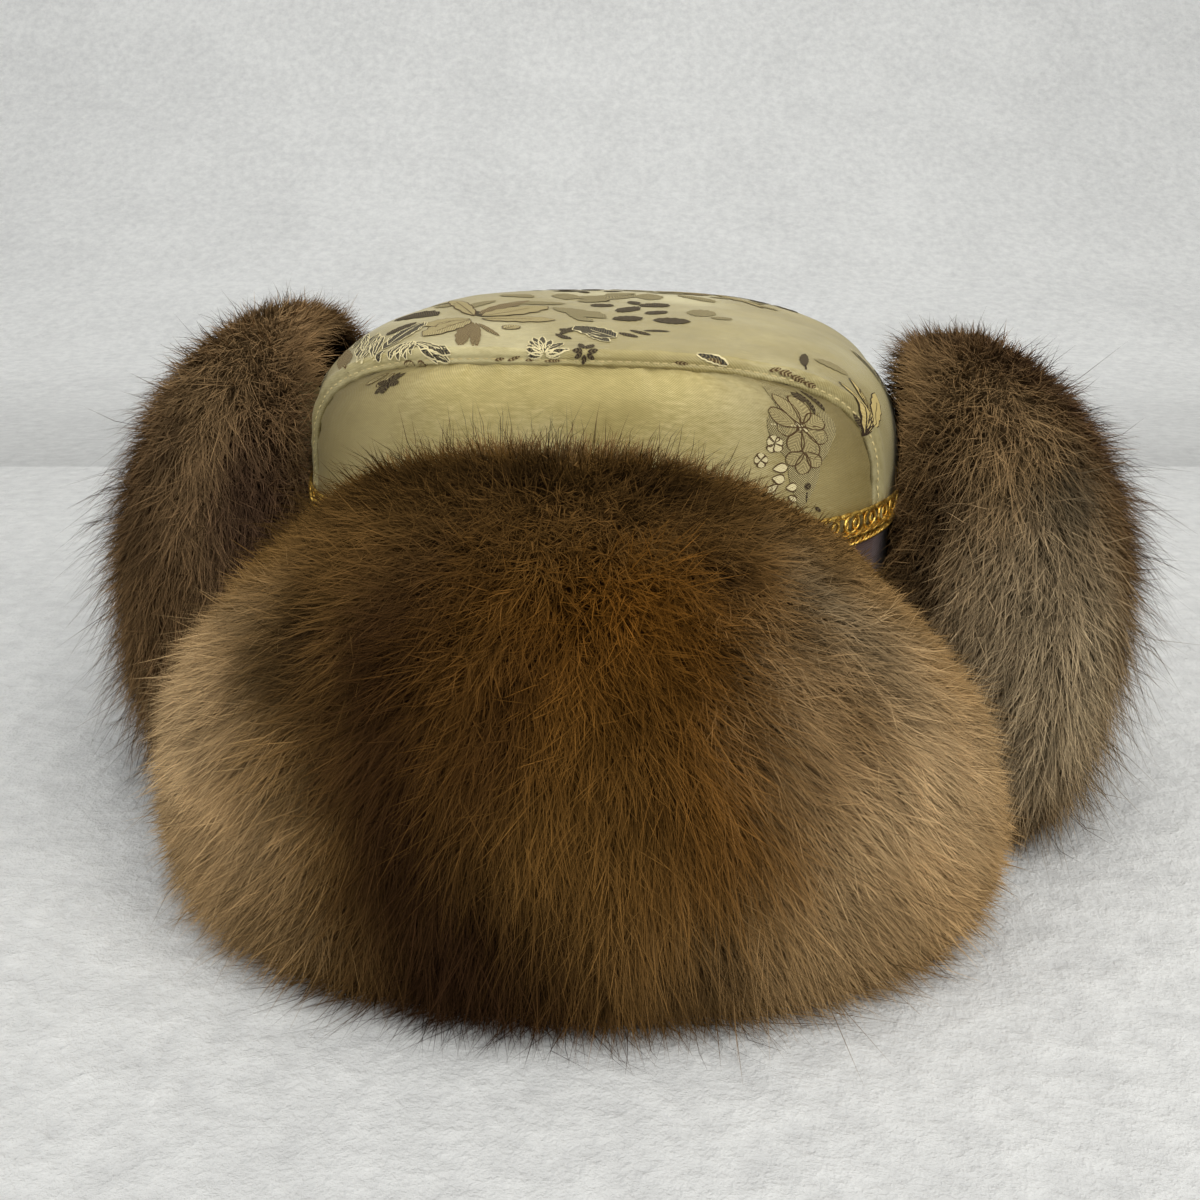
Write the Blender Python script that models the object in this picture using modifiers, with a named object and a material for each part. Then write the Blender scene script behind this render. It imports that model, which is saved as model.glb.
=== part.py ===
"""A Tibetan winter hat of gold brocade with four fur flaps, all turned up, standing on its rim.

The crown is a padded shell in three pieces: a wide strip that runs from one side over the top to the
other, and a front and a back panel set under its edges. Two rows of gold braid go round its foot.
Below the braid a plain cloth band goes down to the rim. Four flaps start at the rim, fold outwards
and stand up round the crown: each is a curved cloth with deep fur on its outer side.

Units are metres, +Z is up and the front of the hat faces -Y.
"""

import math
import random

import bmesh
import bpy
from mathutils import Matrix, Vector

MM = 0.001
GAP = 0.3 * MM

# Crown: plan oval at the braid, and the heights of its parts
CROWN_HALF_WIDTH = 93 * MM
CROWN_HALF_DEPTH = 99 * MM
CROWN_OVAL_POWER = 2.5
CROWN_FOOT = 97 * MM
CROWN_TOP = 155 * MM
CROWN_TOP_POWER = 3.2
CROWN_LEAN = 0.030
SEAM_LEAN = 0.008
CLOTH_WALL = 3 * MM
STRIP_GRID = (10, 24)
PANEL_GRID = (14, 6)
SHARP_EDGE = 40.0

# Seam between the strip and the front panel: an arch set in from the crown's middle arch
SEAM_HALF_WIDTH = 85.5 * MM
SEAM_TOP = 149 * MM
SEAM_TOP_DEPTH = 92 * MM
SEAM_DOME_POWER = 2.5
PANEL_INSET = 4.2 * MM
PANEL_PUFF = 2.5 * MM
PANEL_SIDE_SHARE = 0.36

# Band between the braid and the rim
BAND_INSET = 1.5 * MM
BAND_TOP = CROWN_FOOT - 1.3 * MM
BAND_POINTS = 56

# Braids: a scalloped row over the brocade's lower edge and a plain corded row below it
BRAID_STANDOFF = 0.9 * MM
BRAID_OVERLAP = 1.0 * MM
SCALLOP_COUNT = 54
SCALLOP_RISE = 2.2 * MM
SCALLOP_HEIGHT = 5.5 * MM
SCALLOP_THICKNESS = 1.2 * MM
CORD_RADIUS = 1.4 * MM
CORD_SIDES = 5
CORD_POINTS = 48

# Flap cloths
FLAP_WALL = 2 * MM
FLAP_REACH = 0.86
FLAP_COLUMNS_OF_CLOTH = 14
FLAP_LEAST_TOP = 0.5
FLAP_FULL_FOLD = 2.2
FLAP_CLEARANCE = 1.4 * MM
FLAP_SPACE_BEHIND = 4.5 * MM
FLAP_SPACE_ABOVE = 4 * MM
FLAP_SPACE_TURN = 1.3
FLAP_TOP_UNDER_FUR = 24 * MM
LIP_HANG = 8 * MM
LIP_HANG_SHARE = 0.2
LIP_OUT = 3.5 * MM

# Stations across a flap's half width, as shares of its half span
HALF_STATIONS = (0.0, 0.22, 0.43, 0.61, 0.76, 0.87, 0.95, 1.0)
END_SHARE = 0.985
END_NARROWING = 0.24
END_ROUNDING_POWER = 12.0
END_ROUNDING_ROOT = 3.0

# Each cloth's section from the rim down, out and up: height and distance out from the crown's oval, in mm
FRONT_CLOTH = ((7.0, 0.8), (4.6, 6.0), (9.0, 13.0), (45.0, 19.0), (80.0, 20.0), (108.0, 17.0))
SIDE_CLOTH = ((7.0, 0.8), (4.6, 6.0), (9.0, 14.0), (45.0, 26.0), (85.0, 28.0), (124.0, 20.0))
FOLD_ROW = 2

# Each fur's outline from the floor up and over the top to the crown's side, in mm
FRONT_FUR = (
    (0.0, 61.0),
    (12.0, 66.0),
    (35.0, 68.0),
    (60.0, 65.0),
    (85.0, 57.0),
    (108.0, 44.0),
    (124.0, 28.0),
    (132.0, 16.0),
    (128.0, 6.0),
)
SIDE_FUR = (
    (0.0, 56.0),
    (12.0, 63.0),
    (35.0, 69.0),
    (65.0, 72.0),
    (90.0, 70.0),
    (117.0, 61.0),
    (138.0, 46.0),
    (149.0, 29.0),
    (152.0, 14.0),
    (145.0, 5.0),
)

# Rows of locks, from the floor up: place along the outline, how many, length and root radius in mm,
# and the lean away from the fur in degrees
LOCK_COLUMNS = ("place", "count", "length", "radius", "lean")
LOCK_ROWS = (
    (0.15, 7, 28.0, 9.5, 14.0),
    (0.28, 7, 31.0, 10.5, 15.0),
    (0.42, 7, 31.0, 10.5, 15.0),
    (0.56, 7, 29.0, 9.5, 16.0),
    (0.70, 6, 27.0, 8.5, 20.0),
    (0.84, 7, 21.0, 7.0, 36.0),
)
LOCK_REACH = 0.80
LOCK_FAN = 62.0
LOCK_SIDES = 5
LOCK_TIP = 0.9 * MM
LOCK_ROOT_DEPTH = 7 * MM
CROWN_SIDE_ROW = 5

# How far the locks differ from their row: along it, up the outline, in degrees of fan and lean, in size
LOCK_SHIFT = 0.25
LOCK_CLIMB = 0.035
LOCK_FAN_SPREAD = 12.0
LOCK_LEAN_SPREAD = 4.0
LOCK_SIZES = (0.85, 1.1)
LOCK_END_SHRINK = 0.25
SURFACE_STEP = 0.02

# Under the rim
FLOOR_MARGIN = 2 * MM
FLOOR_BLOCK = 600 * MM

# The flaps: direction and half span in degrees, height and thickness as shares of the section tables,
# and the power of the dome that the fur's top follows
FLAP_COLUMNS = (
    "name", "azimuth", "half_span", "height", "thickness", "dome", "locks", "cloth", "fur", "seed"
)
FLAPS = (
    ("front_flap", -90.0, 57.0, 0.99, 1.0, 2.2, 1.0, FRONT_CLOTH, FRONT_FUR, 11),
    ("right_flap", 0.0, 29.5, 0.955, 1.0, 2.4, 0.7, SIDE_CLOTH, SIDE_FUR, 23),
    ("back_flap", 90.0, 57.0, 0.94, 0.88, 2.2, 0.8, FRONT_CLOTH, FRONT_FUR, 37),
    ("left_flap", 180.0, 29.5, 1.0, 1.0, 2.4, 0.7, SIDE_CLOTH, SIDE_FUR, 41),
)

BROCADE = ("brocade", (0.66, 0.57, 0.32), 0.38, 0.0)
GOLD_BRAID = ("gold_braid", (0.62, 0.40, 0.08), 0.35, 0.8)
BAND_CLOTH = ("band_cloth", (0.12, 0.05, 0.035), 0.80, 0.0)
FLAP_CLOTH = ("flap_cloth", (0.55, 0.47, 0.26), 0.45, 0.0)
FUR = ("fur", (0.20, 0.12, 0.06), 0.90, 0.0)


def clear_scene():
    for obj in list(bpy.data.objects):
        bpy.data.objects.remove(obj)


def new_collection(name):
    made = bpy.data.collections.new(name)
    bpy.context.scene.collection.children.link(made)
    return made


def material(finish):
    name, colour, roughness, metallic = finish
    made = bpy.data.materials.get(name)
    if made is None:
        made = bpy.data.materials.new(name)
        made.use_nodes = True
        shader = made.node_tree.nodes["Principled BSDF"]
        shader.inputs["Base Color"].default_value = (*colour, 1.0)
        shader.inputs["Roughness"].default_value = roughness
        shader.inputs["Metallic"].default_value = metallic
    return made


def add_object(name, data, collection, finish):
    made = bpy.data.objects.new(name, data)
    collection.objects.link(made)
    data.materials.append(material(finish))
    return made


def add_guide(name, data, collection):
    """A cutter or another shape that only serves to make a piece."""
    made = bpy.data.objects.new(name, data)
    collection.objects.link(made)
    made.hide_render = True
    made.display_type = "WIRE"
    return made


def mesh_from(body, name):
    data = bpy.data.meshes.new(name)
    body.to_mesh(data)
    body.free()
    return data


def dome(share, power):
    """Height of a unit superellipse at this share of its half width."""
    return max(0.0, 1.0 - abs(share) ** power) ** (1.0 / power)


def oval_radius(angle, inset=0.0):
    """Radius of the crown's plan oval in this direction."""
    across = abs(math.cos(angle) / (CROWN_HALF_WIDTH - inset)) ** CROWN_OVAL_POWER
    along = abs(math.sin(angle) / (CROWN_HALF_DEPTH - inset)) ** CROWN_OVAL_POWER
    return (across + along) ** (-1.0 / CROWN_OVAL_POWER)


def oval_point(angle, out, height):
    """A point at this distance out from the crown's oval."""
    radius = oval_radius(angle) + out
    return Vector((radius * math.cos(angle), radius * math.sin(angle), height))


def oval_depth(x):
    """Distance of the oval from the plane through both sides of the hat, at this x."""
    return CROWN_HALF_DEPTH * dome(x / CROWN_HALF_WIDTH, CROWN_OVAL_POWER)


def arch_point(turn, half_width, top, lean):
    """(x, z) on an arch over the crown's foot, from the right side (turn 0) to the left side (1)."""
    power = 2.0 / CROWN_TOP_POWER
    cosine = math.cos(math.pi * turn)
    x = half_width * math.copysign(abs(cosine) ** power, cosine)
    rise = max(0.0, math.sin(math.pi * turn)) ** power
    return x, CROWN_FOOT + (top - CROWN_FOOT - lean * x) * rise


def seam_point(turn, inset=0.0):
    """A point of the front seam, moved in towards the middle of the panel by inset."""
    x, z = arch_point(turn, SEAM_HALF_WIDTH - inset, SEAM_TOP - inset, SEAM_LEAN)
    rise = (z - CROWN_FOOT) / (SEAM_TOP - CROWN_FOOT)
    lean = 1.0 + (SEAM_TOP_DEPTH / CROWN_HALF_DEPTH - 1.0) * rise
    return Vector((x, -oval_depth(x) * lean, z))


def strip_point(turn, across):
    """A point of the crown's strip: across goes from the front seam (-1) to the back seam (1)."""
    x, z = arch_point(turn, CROWN_HALF_WIDTH, CROWN_TOP, CROWN_LEAN)
    seam = seam_point(turn)
    swell = 1.0 - abs(across) ** SEAM_DOME_POWER
    return Vector((seam.x + (x - seam.x) * swell, -seam.y * across, seam.z + (z - seam.z) * swell))


def panel_point(across, up):
    """A point of the front panel, spread between its foot on the oval and its edge under the seam."""

    def foot(share):
        x = (SEAM_HALF_WIDTH - PANEL_INSET) * (2.0 * share - 1.0)
        return Vector((x, -oval_depth(x), CROWN_FOOT))

    def top(share):
        turn = 1.0 - PANEL_SIDE_SHARE - (1.0 - 2.0 * PANEL_SIDE_SHARE) * share
        return seam_point(turn, PANEL_INSET)

    left = seam_point(1.0 - PANEL_SIDE_SHARE * up, PANEL_INSET)
    right = seam_point(PANEL_SIDE_SHARE * up, PANEL_INSET)
    rising = foot(across).lerp(top(across), up)
    sideways = left.lerp(right, across)
    corners = foot(0.0).lerp(foot(1.0), across).lerp(top(0.0).lerp(top(1.0), across), up)
    puff = PANEL_PUFF * (4.0 * up * (1.0 - up)) ** 2 * dome(2.0 * across - 1.0, 2.0)
    return rising + sideways - corners - Vector((0.0, puff, 0.0))


def sheet_mesh(name, across_steps, up_steps, place):
    """A grid whose points place(across, up) puts, with both running from 0 to 1."""
    grid = bmesh.new()
    bmesh.ops.create_grid(grid, x_segments=across_steps, y_segments=up_steps, size=0.5)
    for vertex in grid.verts:
        vertex.co = place(vertex.co.x + 0.5, vertex.co.y + 0.5)
    data = mesh_from(grid, name)
    data.shade_smooth()
    data.set_sharp_from_angle(angle=math.radians(SHARP_EDGE))
    return data


def thicken(made, wall, offset=-1.0):
    """Give a sheet its wall; an offset of -1 lays it all behind the side that the normals face."""
    shell = made.modifiers.new("wall", "SOLIDIFY")
    shell.thickness = wall
    shell.offset = offset
    shell.use_even_offset = True


def build_crown(collection):
    def strip_place(across, turn):
        return strip_point(turn, 2.0 * across - 1.0)

    def back_place(across, up):
        point = panel_point(1.0 - across, up)
        return Vector((point.x, -point.y, point.z))

    sheets = (
        ("crown_strip", STRIP_GRID, strip_place),
        ("crown_front_panel", PANEL_GRID, panel_point),
        ("crown_back_panel", PANEL_GRID, back_place),
    )
    for name, grid, place in sheets:
        data = sheet_mesh(name, *grid, place)
        thicken(add_object(name, data, collection, BROCADE), CLOTH_WALL)


def add_oval(curve, inset, points):
    spline = curve.splines.new("POLY")
    spline.points.add(points - 1)
    for index, point in enumerate(spline.points):
        angle = 2.0 * math.pi * index / points
        radius = oval_radius(angle, inset)
        point.co = (radius * math.cos(angle), radius * math.sin(angle), 0.0, 1.0)
    spline.use_cyclic_u = True


def build_band(collection):
    """The band is a flat oval ring drawn up from the rim to the brocade."""
    curve = bpy.data.curves.new("crown_band", "CURVE")
    curve.dimensions = "2D"
    curve.fill_mode = "BOTH"
    curve.extrude = BAND_TOP / 2.0
    add_oval(curve, BAND_INSET, BAND_POINTS)
    add_oval(curve, BAND_INSET + CLOTH_WALL, BAND_POINTS)
    band = add_object("crown_band", curve, collection, BAND_CLOTH)
    band.location.z = BAND_TOP / 2.0


def loft(body, rings, closed):
    """Join rings of vertices by quads; an open loft gets a cap at each end."""
    following = rings[1:] + rings[:1] if closed else rings[1:]
    for ring, after in zip(rings, following):
        for i in range(len(ring)):
            j = (i + 1) % len(ring)
            body.faces.new((ring[i], after[i], after[j], ring[j]))
    if not closed:
        body.faces.new(rings[0])
        body.faces.new(rings[-1])
    bmesh.ops.recalc_face_normals(body, faces=body.faces)


def build_braid(name, collection, columns, section):
    """A closed ring round the crown: section(turns) gives its corners as (out, height)."""
    body = bmesh.new()
    rings = []
    for index in range(columns):
        turns = index / columns
        ring = [oval_point(2.0 * math.pi * turns, *corner) for corner in section(turns)]
        rings.append([body.verts.new(point) for point in ring])
    loft(body, rings, closed=True)
    add_object(name, mesh_from(body, name), collection, GOLD_BRAID)


def build_braids(collection):
    foot = CROWN_FOOT - BRAID_OVERLAP

    def scalloped(turns):
        rise = SCALLOP_RISE * abs(math.cos(math.pi * SCALLOP_COUNT * turns))
        inner = BRAID_STANDOFF
        outer = inner + SCALLOP_THICKNESS
        top = foot + SCALLOP_HEIGHT + rise
        return (inner, foot), (outer, foot), (outer, top), (inner, top)

    def corded(_):
        middle_out = CORD_RADIUS + GAP - BAND_INSET
        middle = foot - CORD_RADIUS - GAP
        turns = [2.0 * math.pi * side / CORD_SIDES for side in range(CORD_SIDES)]
        return [(middle_out + CORD_RADIUS * math.cos(t), middle + CORD_RADIUS * math.sin(t)) for t in turns]

    build_braid("braid_scalloped", collection, 2 * SCALLOP_COUNT, scalloped)
    build_braid("braid_cord", collection, CORD_POINTS, corded)


def flap_angle(flap, across):
    return math.radians(flap["azimuth"] + flap["half_span"] * across)


def ridge_height(flap, across):
    """Height of the fur's top at this share of the flap's half span."""
    tallest = max(height for height, _ in flap["fur"])
    return tallest * MM * flap["height"] * dome(END_SHARE * across, flap["dome"])


def end_narrowing(across):
    """How much of the fur's full thickness is left at this share of the flap's half span."""
    slim = 1.0 - END_NARROWING * across * across
    rounding = 1.0 - abs(END_SHARE * across) ** END_ROUNDING_POWER
    return slim * rounding ** (1.0 / END_ROUNDING_ROOT)


def cloth_row(flap, across, row):
    """(out, height) of one row of the cloth's outer face, in metres."""
    height, out = flap["cloth"][row]
    ridge = ridge_height(flap, across)
    small = min(1.0, ridge / (FLAP_TOP_UNDER_FUR * FLAP_FULL_FOLD))
    fold = flap["cloth"][FOLD_ROW][0] * small * MM
    if row <= FOLD_ROW:
        return out * MM, height * small * MM
    top = max(ridge - FLAP_TOP_UNDER_FUR, FLAP_LEAST_TOP * ridge)
    share = (height * MM - fold) / (flap["cloth"][-1][0] * MM - fold)
    return out * MM, fold + (top - fold) * share


def build_flap_cloth(flap, collection, guides):
    """The cloth, and a copy with its clearance all round that cuts the fur."""
    rows = len(flap["cloth"])

    def place(across, up, taller=0.0, wider=0.0):
        row = round(up * (rows - 1))
        share = 2.0 * across - 1.0
        out, height = cloth_row(flap, share * FLAP_REACH, row)
        if row == rows - 1:
            height += taller
        angle = flap_angle(flap, share * FLAP_REACH)
        if round(across * FLAP_COLUMNS_OF_CLOTH) in (0, FLAP_COLUMNS_OF_CLOTH):
            angle += math.copysign(wider, share)
        return oval_point(angle, out, height)

    def grown(across, up):
        return place(across, up, FLAP_SPACE_ABOVE, math.radians(FLAP_SPACE_TURN))

    grid = (FLAP_COLUMNS_OF_CLOTH, rows - 1)
    name = flap["name"] + "_cloth"
    cloth = add_object(name, sheet_mesh(name, *grid, place), collection, FLAP_CLOTH)
    thicken(cloth, FLAP_WALL)
    cutter_name = flap["name"] + "_cloth_space"
    cutter = add_guide(cutter_name, sheet_mesh(cutter_name, *grid, grown), guides)
    wide = FLAP_CLEARANCE + FLAP_WALL + FLAP_SPACE_BEHIND
    thicken(cutter, wide, 2.0 * FLAP_CLEARANCE / wide - 1.0)
    return cutter


def fur_outline(flap, across):
    """The fur's section from the floor up its outer face and over the top to the end of the lip."""
    ridge = ridge_height(flap, across)
    tallest = max(height for height, _ in flap["fur"]) * MM
    slim = end_narrowing(across) * flap["thickness"]
    outline = []
    for height, out in flap["fur"]:
        outline.append((LIP_OUT + (out * MM - LIP_OUT) * slim, height * MM * ridge / tallest))
    return outline


def fur_section(flap, across):
    """The whole closed section as (out, height): the outline, the lip, and back along the cloth."""
    rows = len(flap["cloth"])
    top_out, top_height = cloth_row(flap, across, rows - 1)
    middle = FLAP_WALL / 2.0
    hang = min(LIP_HANG, LIP_HANG_SHARE * top_height)
    inner = [(LIP_OUT, top_height - hang), (top_out - middle, top_height - hang)]
    for row in range(rows - 2, FOLD_ROW - 1, -1):
        out, height = cloth_row(flap, across, row)
        inner.append((out - middle, height))
    for row in range(FOLD_ROW - 1, -1, -1):
        out, height = cloth_row(flap, across, row)
        inner.append((out, height - 2.0 * FLAP_CLEARANCE))
    outline = fur_outline(flap, across)
    return [(outline[0][0], -FLOOR_MARGIN)] + outline[1:] + inner + [(inner[-1][0], -FLOOR_MARGIN)]


def outline_point(flap, across, place):
    """A point of the fur's outer surface, place going from 0 at the floor to 1 at the lip."""
    outline = fur_outline(flap, across)
    step = place * (len(outline) - 1)
    index = min(int(step), len(outline) - 2)
    rest = step - index
    out = outline[index][0] * (1.0 - rest) + outline[index + 1][0] * rest
    height = outline[index][1] * (1.0 - rest) + outline[index + 1][1] * rest
    return oval_point(flap_angle(flap, across), out, height)


def build_locks(flap, guides):
    """Tapered locks that lie over the fur, fanning out and down from the top of the flap."""
    draw = random.Random(flap["seed"])
    locks = new_collection(flap["name"] + "_locks")
    scene = bpy.context.scene.collection
    scene.children.unlink(locks)
    guides.children.link(locks)
    for row_number, values in enumerate(LOCK_ROWS):
        row = dict(zip(LOCK_COLUMNS, values))
        count = round(row["count"] * flap["locks"])
        for number in range(count):
            middle = number + 0.5 + draw.uniform(-LOCK_SHIFT, LOCK_SHIFT)
            across = LOCK_REACH * (2.0 * middle / count - 1.0)
            place = row["place"] + draw.uniform(-LOCK_CLIMB, LOCK_CLIMB)
            root = outline_point(flap, across, place)
            upwards = (outline_point(flap, across, place + SURFACE_STEP) - root).normalized()
            sideways = (outline_point(flap, across + SURFACE_STEP, place) - root).normalized()
            outwards = sideways.cross(upwards).normalized()
            spread = draw.uniform(-LOCK_FAN_SPREAD, LOCK_FAN_SPREAD)
            fan = math.radians(LOCK_FAN * across + spread)
            down = 1.0 if row_number == CROWN_SIDE_ROW else -1.0
            flow = upwards * (down * math.cos(fan)) + sideways * math.sin(fan)
            lean = math.radians(row["lean"] + draw.uniform(-LOCK_LEAN_SPREAD, LOCK_LEAN_SPREAD))
            axis = (flow * math.cos(lean) + outwards * math.sin(lean)).normalized()
            size = draw.uniform(*LOCK_SIZES) * (1.0 - LOCK_END_SHRINK * abs(across))
            length = row["length"] * MM * size
            body = bmesh.new()
            start = root - outwards * LOCK_ROOT_DEPTH
            turn = axis.to_track_quat("Z", "Y").to_matrix().to_4x4()
            bmesh.ops.create_cone(
                body,
                cap_ends=True,
                segments=LOCK_SIDES,
                radius1=row["radius"] * MM * size,
                radius2=LOCK_TIP,
                depth=length,
                matrix=Matrix.Translation(start + axis * length / 2.0) @ turn,
            )
            name = f"{flap['name']}_lock_{row_number}_{number}"
            add_guide(name, mesh_from(body, name), locks)
    return locks


def build_floor(guides):
    """A block under the rim, which cuts the fur flat where it stands."""
    body = bmesh.new()
    drop = Matrix.Translation((0.0, 0.0, -FLOOR_BLOCK / 2.0))
    bmesh.ops.create_cube(body, size=FLOOR_BLOCK, matrix=drop)
    return add_guide("floor_space", mesh_from(body, "floor_space"), guides)


def build_fur(flap, collection, cutters, locks):
    name = flap["name"] + "_fur"
    stations = [-share for share in reversed(HALF_STATIONS[1:])] + list(HALF_STATIONS)
    body = bmesh.new()
    rings = []
    for across in stations:
        angle = flap_angle(flap, across)
        rings.append([body.verts.new(oval_point(angle, *corner)) for corner in fur_section(flap, across)])
    loft(body, rings, closed=False)
    bmesh.ops.triangulate(body, faces=body.faces)
    fur = add_object(name, mesh_from(body, name), collection, FUR)
    join = fur.modifiers.new("locks", "BOOLEAN")
    join.operation = "UNION"
    join.solver = "EXACT"
    join.operand_type = "COLLECTION"
    join.collection = locks
    for cutter in cutters:
        cut = fur.modifiers.new(cutter.name, "BOOLEAN")
        cut.operation = "DIFFERENCE"
        cut.solver = "EXACT"
        cut.object = cutter


def stand_on_origin(collection):
    """Move everything so that the middle of the hat's footprint is at the origin."""
    bpy.context.view_layer.update()
    graph = bpy.context.evaluated_depsgraph_get()
    corners = []
    for obj in collection.objects:
        if obj.type == "MESH":
            corners += [obj.matrix_world @ Vector(corner) for corner in obj.evaluated_get(graph).bound_box]
    middle = [(min(c[k] for c in corners) + max(c[k] for c in corners)) / 2.0 for k in range(2)]
    everything = list(bpy.data.objects)
    root = bpy.data.objects.new("root", None)
    root.location = (-middle[0], -middle[1], 0.0)
    collection.objects.link(root)
    for obj in everything:
        obj.parent = root


def main():
    clear_scene()
    hat = new_collection("tibetan_fur_hat")
    guides = new_collection("guides")
    build_crown(hat)
    build_band(hat)
    build_braids(hat)
    floor = build_floor(guides)
    for values in FLAPS:
        flap = dict(zip(FLAP_COLUMNS, values))
        cloth_space = build_flap_cloth(flap, hat, guides)
        build_fur(flap, hat, (floor, cloth_space), build_locks(flap, guides))
    stand_on_origin(hat)


main()
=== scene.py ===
"""Looks of a Tibetan winter hat of gold brocade with four turned-up fur flaps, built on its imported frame.

Lengths are metres in the part's own frame: +Z up, the front of the hat faces -Y.
"""

import math

import bpy
import numpy as np
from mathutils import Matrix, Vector


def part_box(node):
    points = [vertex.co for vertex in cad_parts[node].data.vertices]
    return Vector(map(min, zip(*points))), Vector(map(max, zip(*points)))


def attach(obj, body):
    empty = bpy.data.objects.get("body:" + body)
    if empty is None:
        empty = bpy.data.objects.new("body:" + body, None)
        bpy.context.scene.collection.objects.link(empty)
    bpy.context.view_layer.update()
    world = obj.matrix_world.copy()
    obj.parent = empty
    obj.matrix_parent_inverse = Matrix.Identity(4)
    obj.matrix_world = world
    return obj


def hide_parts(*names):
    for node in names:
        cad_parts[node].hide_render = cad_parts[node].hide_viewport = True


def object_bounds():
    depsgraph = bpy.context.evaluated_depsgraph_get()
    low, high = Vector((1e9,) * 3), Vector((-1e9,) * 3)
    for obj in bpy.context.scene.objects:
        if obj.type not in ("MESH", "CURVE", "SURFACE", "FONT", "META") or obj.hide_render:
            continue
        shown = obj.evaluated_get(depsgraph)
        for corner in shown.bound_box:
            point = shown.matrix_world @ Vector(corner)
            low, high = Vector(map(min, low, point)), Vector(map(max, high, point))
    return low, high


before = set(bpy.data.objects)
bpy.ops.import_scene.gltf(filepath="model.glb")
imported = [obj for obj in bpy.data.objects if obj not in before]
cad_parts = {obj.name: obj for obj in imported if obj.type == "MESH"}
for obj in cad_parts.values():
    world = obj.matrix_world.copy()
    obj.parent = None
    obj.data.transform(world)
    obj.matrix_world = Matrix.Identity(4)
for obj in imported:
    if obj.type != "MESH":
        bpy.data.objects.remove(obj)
cad_low, cad_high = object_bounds()


# Band: a strip of dark red-brown cotton cloth between the braid and the rim, sewn round the crown's foot.
# Its solid has the true shape, so it keeps it and gets the look of a plain weave.

MM = 0.001
WEAVE_PITCH = 0.7 * MM
BAND_DARK = (0.030, 0.012, 0.010, 1.0)
BAND_RED = (0.085, 0.026, 0.018, 1.0)


class Signal:
    """An output of a material's node: sums, differences and products of signals add Math nodes."""

    def __init__(self, tree, socket=None):
        self.tree = tree
        self.socket = socket

    def feed(self, entry, value):
        if isinstance(value, Signal):
            self.tree.links.new(value.socket, entry)
        else:
            entry.default_value = value

    def node(self, kind, settings, values, output=0):
        """A node of this type, with its settings made before its sockets are fed."""
        made = self.tree.nodes.new("ShaderNode" + kind)
        for name, value in settings.items():
            if name == "stops":
                while len(made.color_ramp.elements) < len(value):
                    made.color_ramp.elements.new(0.5)
                for element, (place, colour) in zip(made.color_ramp.elements, value):
                    element.position, element.color = place, colour
            else:
                setattr(made, name, value)
        for name, value in values.items():
            self.feed(made.inputs[name], value)
        return Signal(self.tree, made.outputs[output])

    def maths(self, operation, *values):
        return self.node("Math", {"operation": operation}, dict(enumerate(values)))

    def __add__(self, other):
        return self.maths("ADD", self, other)

    __radd__ = __add__

    def __mul__(self, other):
        return self.maths("MULTIPLY", self, other)

    __rmul__ = __mul__

    def __sub__(self, other):
        return self.maths("SUBTRACT", self, other)

    def __rsub__(self, other):
        return self.maths("SUBTRACT", other, self)

    def held(self, low=0.0, high=1.0):
        """This signal's own range low..high stretched to 0..1 and held there."""
        values = {"Value": self, "From Min": low, "From Max": high}
        return self.node("MapRange", {"clamp": True}, values)

    def between(self, first, second):
        """The first colour where this signal is 0, the second where it is 1."""
        return self.node("Mix", {"data_type": "RGBA"}, {0: self, 6: first, 7: second}, 2)

    def noise(self, where, scale, detail=3.0, rough=0.5):
        values = {"Vector": where, "Scale": scale, "Detail": detail, "Roughness": rough}
        return self.node("TexNoise", {}, values)

    def across(self, where, axis):
        return self.node("SeparateXYZ", {}, {0: where}, "XYZ".index(axis))

    def wave(self, phase):
        """A sine from 0 to 1."""
        return self.maths("SINE", phase) * 0.5 + 0.5

    def scaled(self, colour, factor):
        """A colour made lighter or darker by a factor."""
        return self.node("VectorMath", {"operation": "SCALE"}, {"Vector": colour, "Scale": factor})

    def stretched(self, where, factors):
        """A place multiplied axis by axis, so that a noise read there is drawn out or squeezed."""
        return self.node("VectorMath", {"operation": "MULTIPLY"}, {0: where, 1: factors})

    def bump(self, height, distance, strength=1.0):
        return self.node("Bump", {}, {"Height": height, "Distance": distance, "Strength": strength})


def new_finish(name, **constants):
    """(material, its signal maker, its shader's inputs): a Principled surface to build a look on."""
    made = bpy.data.materials.new(name)
    made.use_nodes = True
    inputs = made.node_tree.nodes["Principled BSDF"].inputs
    for socket, value in constants.items():
        inputs[socket.replace("_", " ").title().replace("Ior", "IOR")].default_value = value
    return made, Signal(made.node_tree), inputs


def dress_node(name, material):
    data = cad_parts[name].data
    data.materials.clear()
    data.materials.append(material)


band_cloth, look, inputs = new_finish("band_cloth", roughness=0.85, sheen_weight=0.3)
where = look.node("TexCoord", {}, {}, "Object")
turn = look.maths("ARCTAN2", look.across(where, "Y"), look.across(where, "X")) * 0.095
rise = look.across(where, "Z")
thread = 2.0 * math.pi / WEAVE_PITCH
weave = look.wave(turn * thread) * 0.5 + look.wave(rise * thread) * 0.5
look.feed(inputs["Base Color"], (look.noise(where, 90.0) * 0.6 + weave * 0.4).between(BAND_DARK, BAND_RED))
look.feed(inputs["Normal"], look.bump(weave, 0.15 * MM, 0.7))
dress_node("crown_band", band_cloth)


# Crown: gold satin brocade over thin padding, a wide strip from ear to ear over the top and a front and a
# back panel set in under its edges. The strip's edge is turned over a cord of wadding and stitched down,
# which leaves a soft roll along each seam with small puckers beside it.

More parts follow.
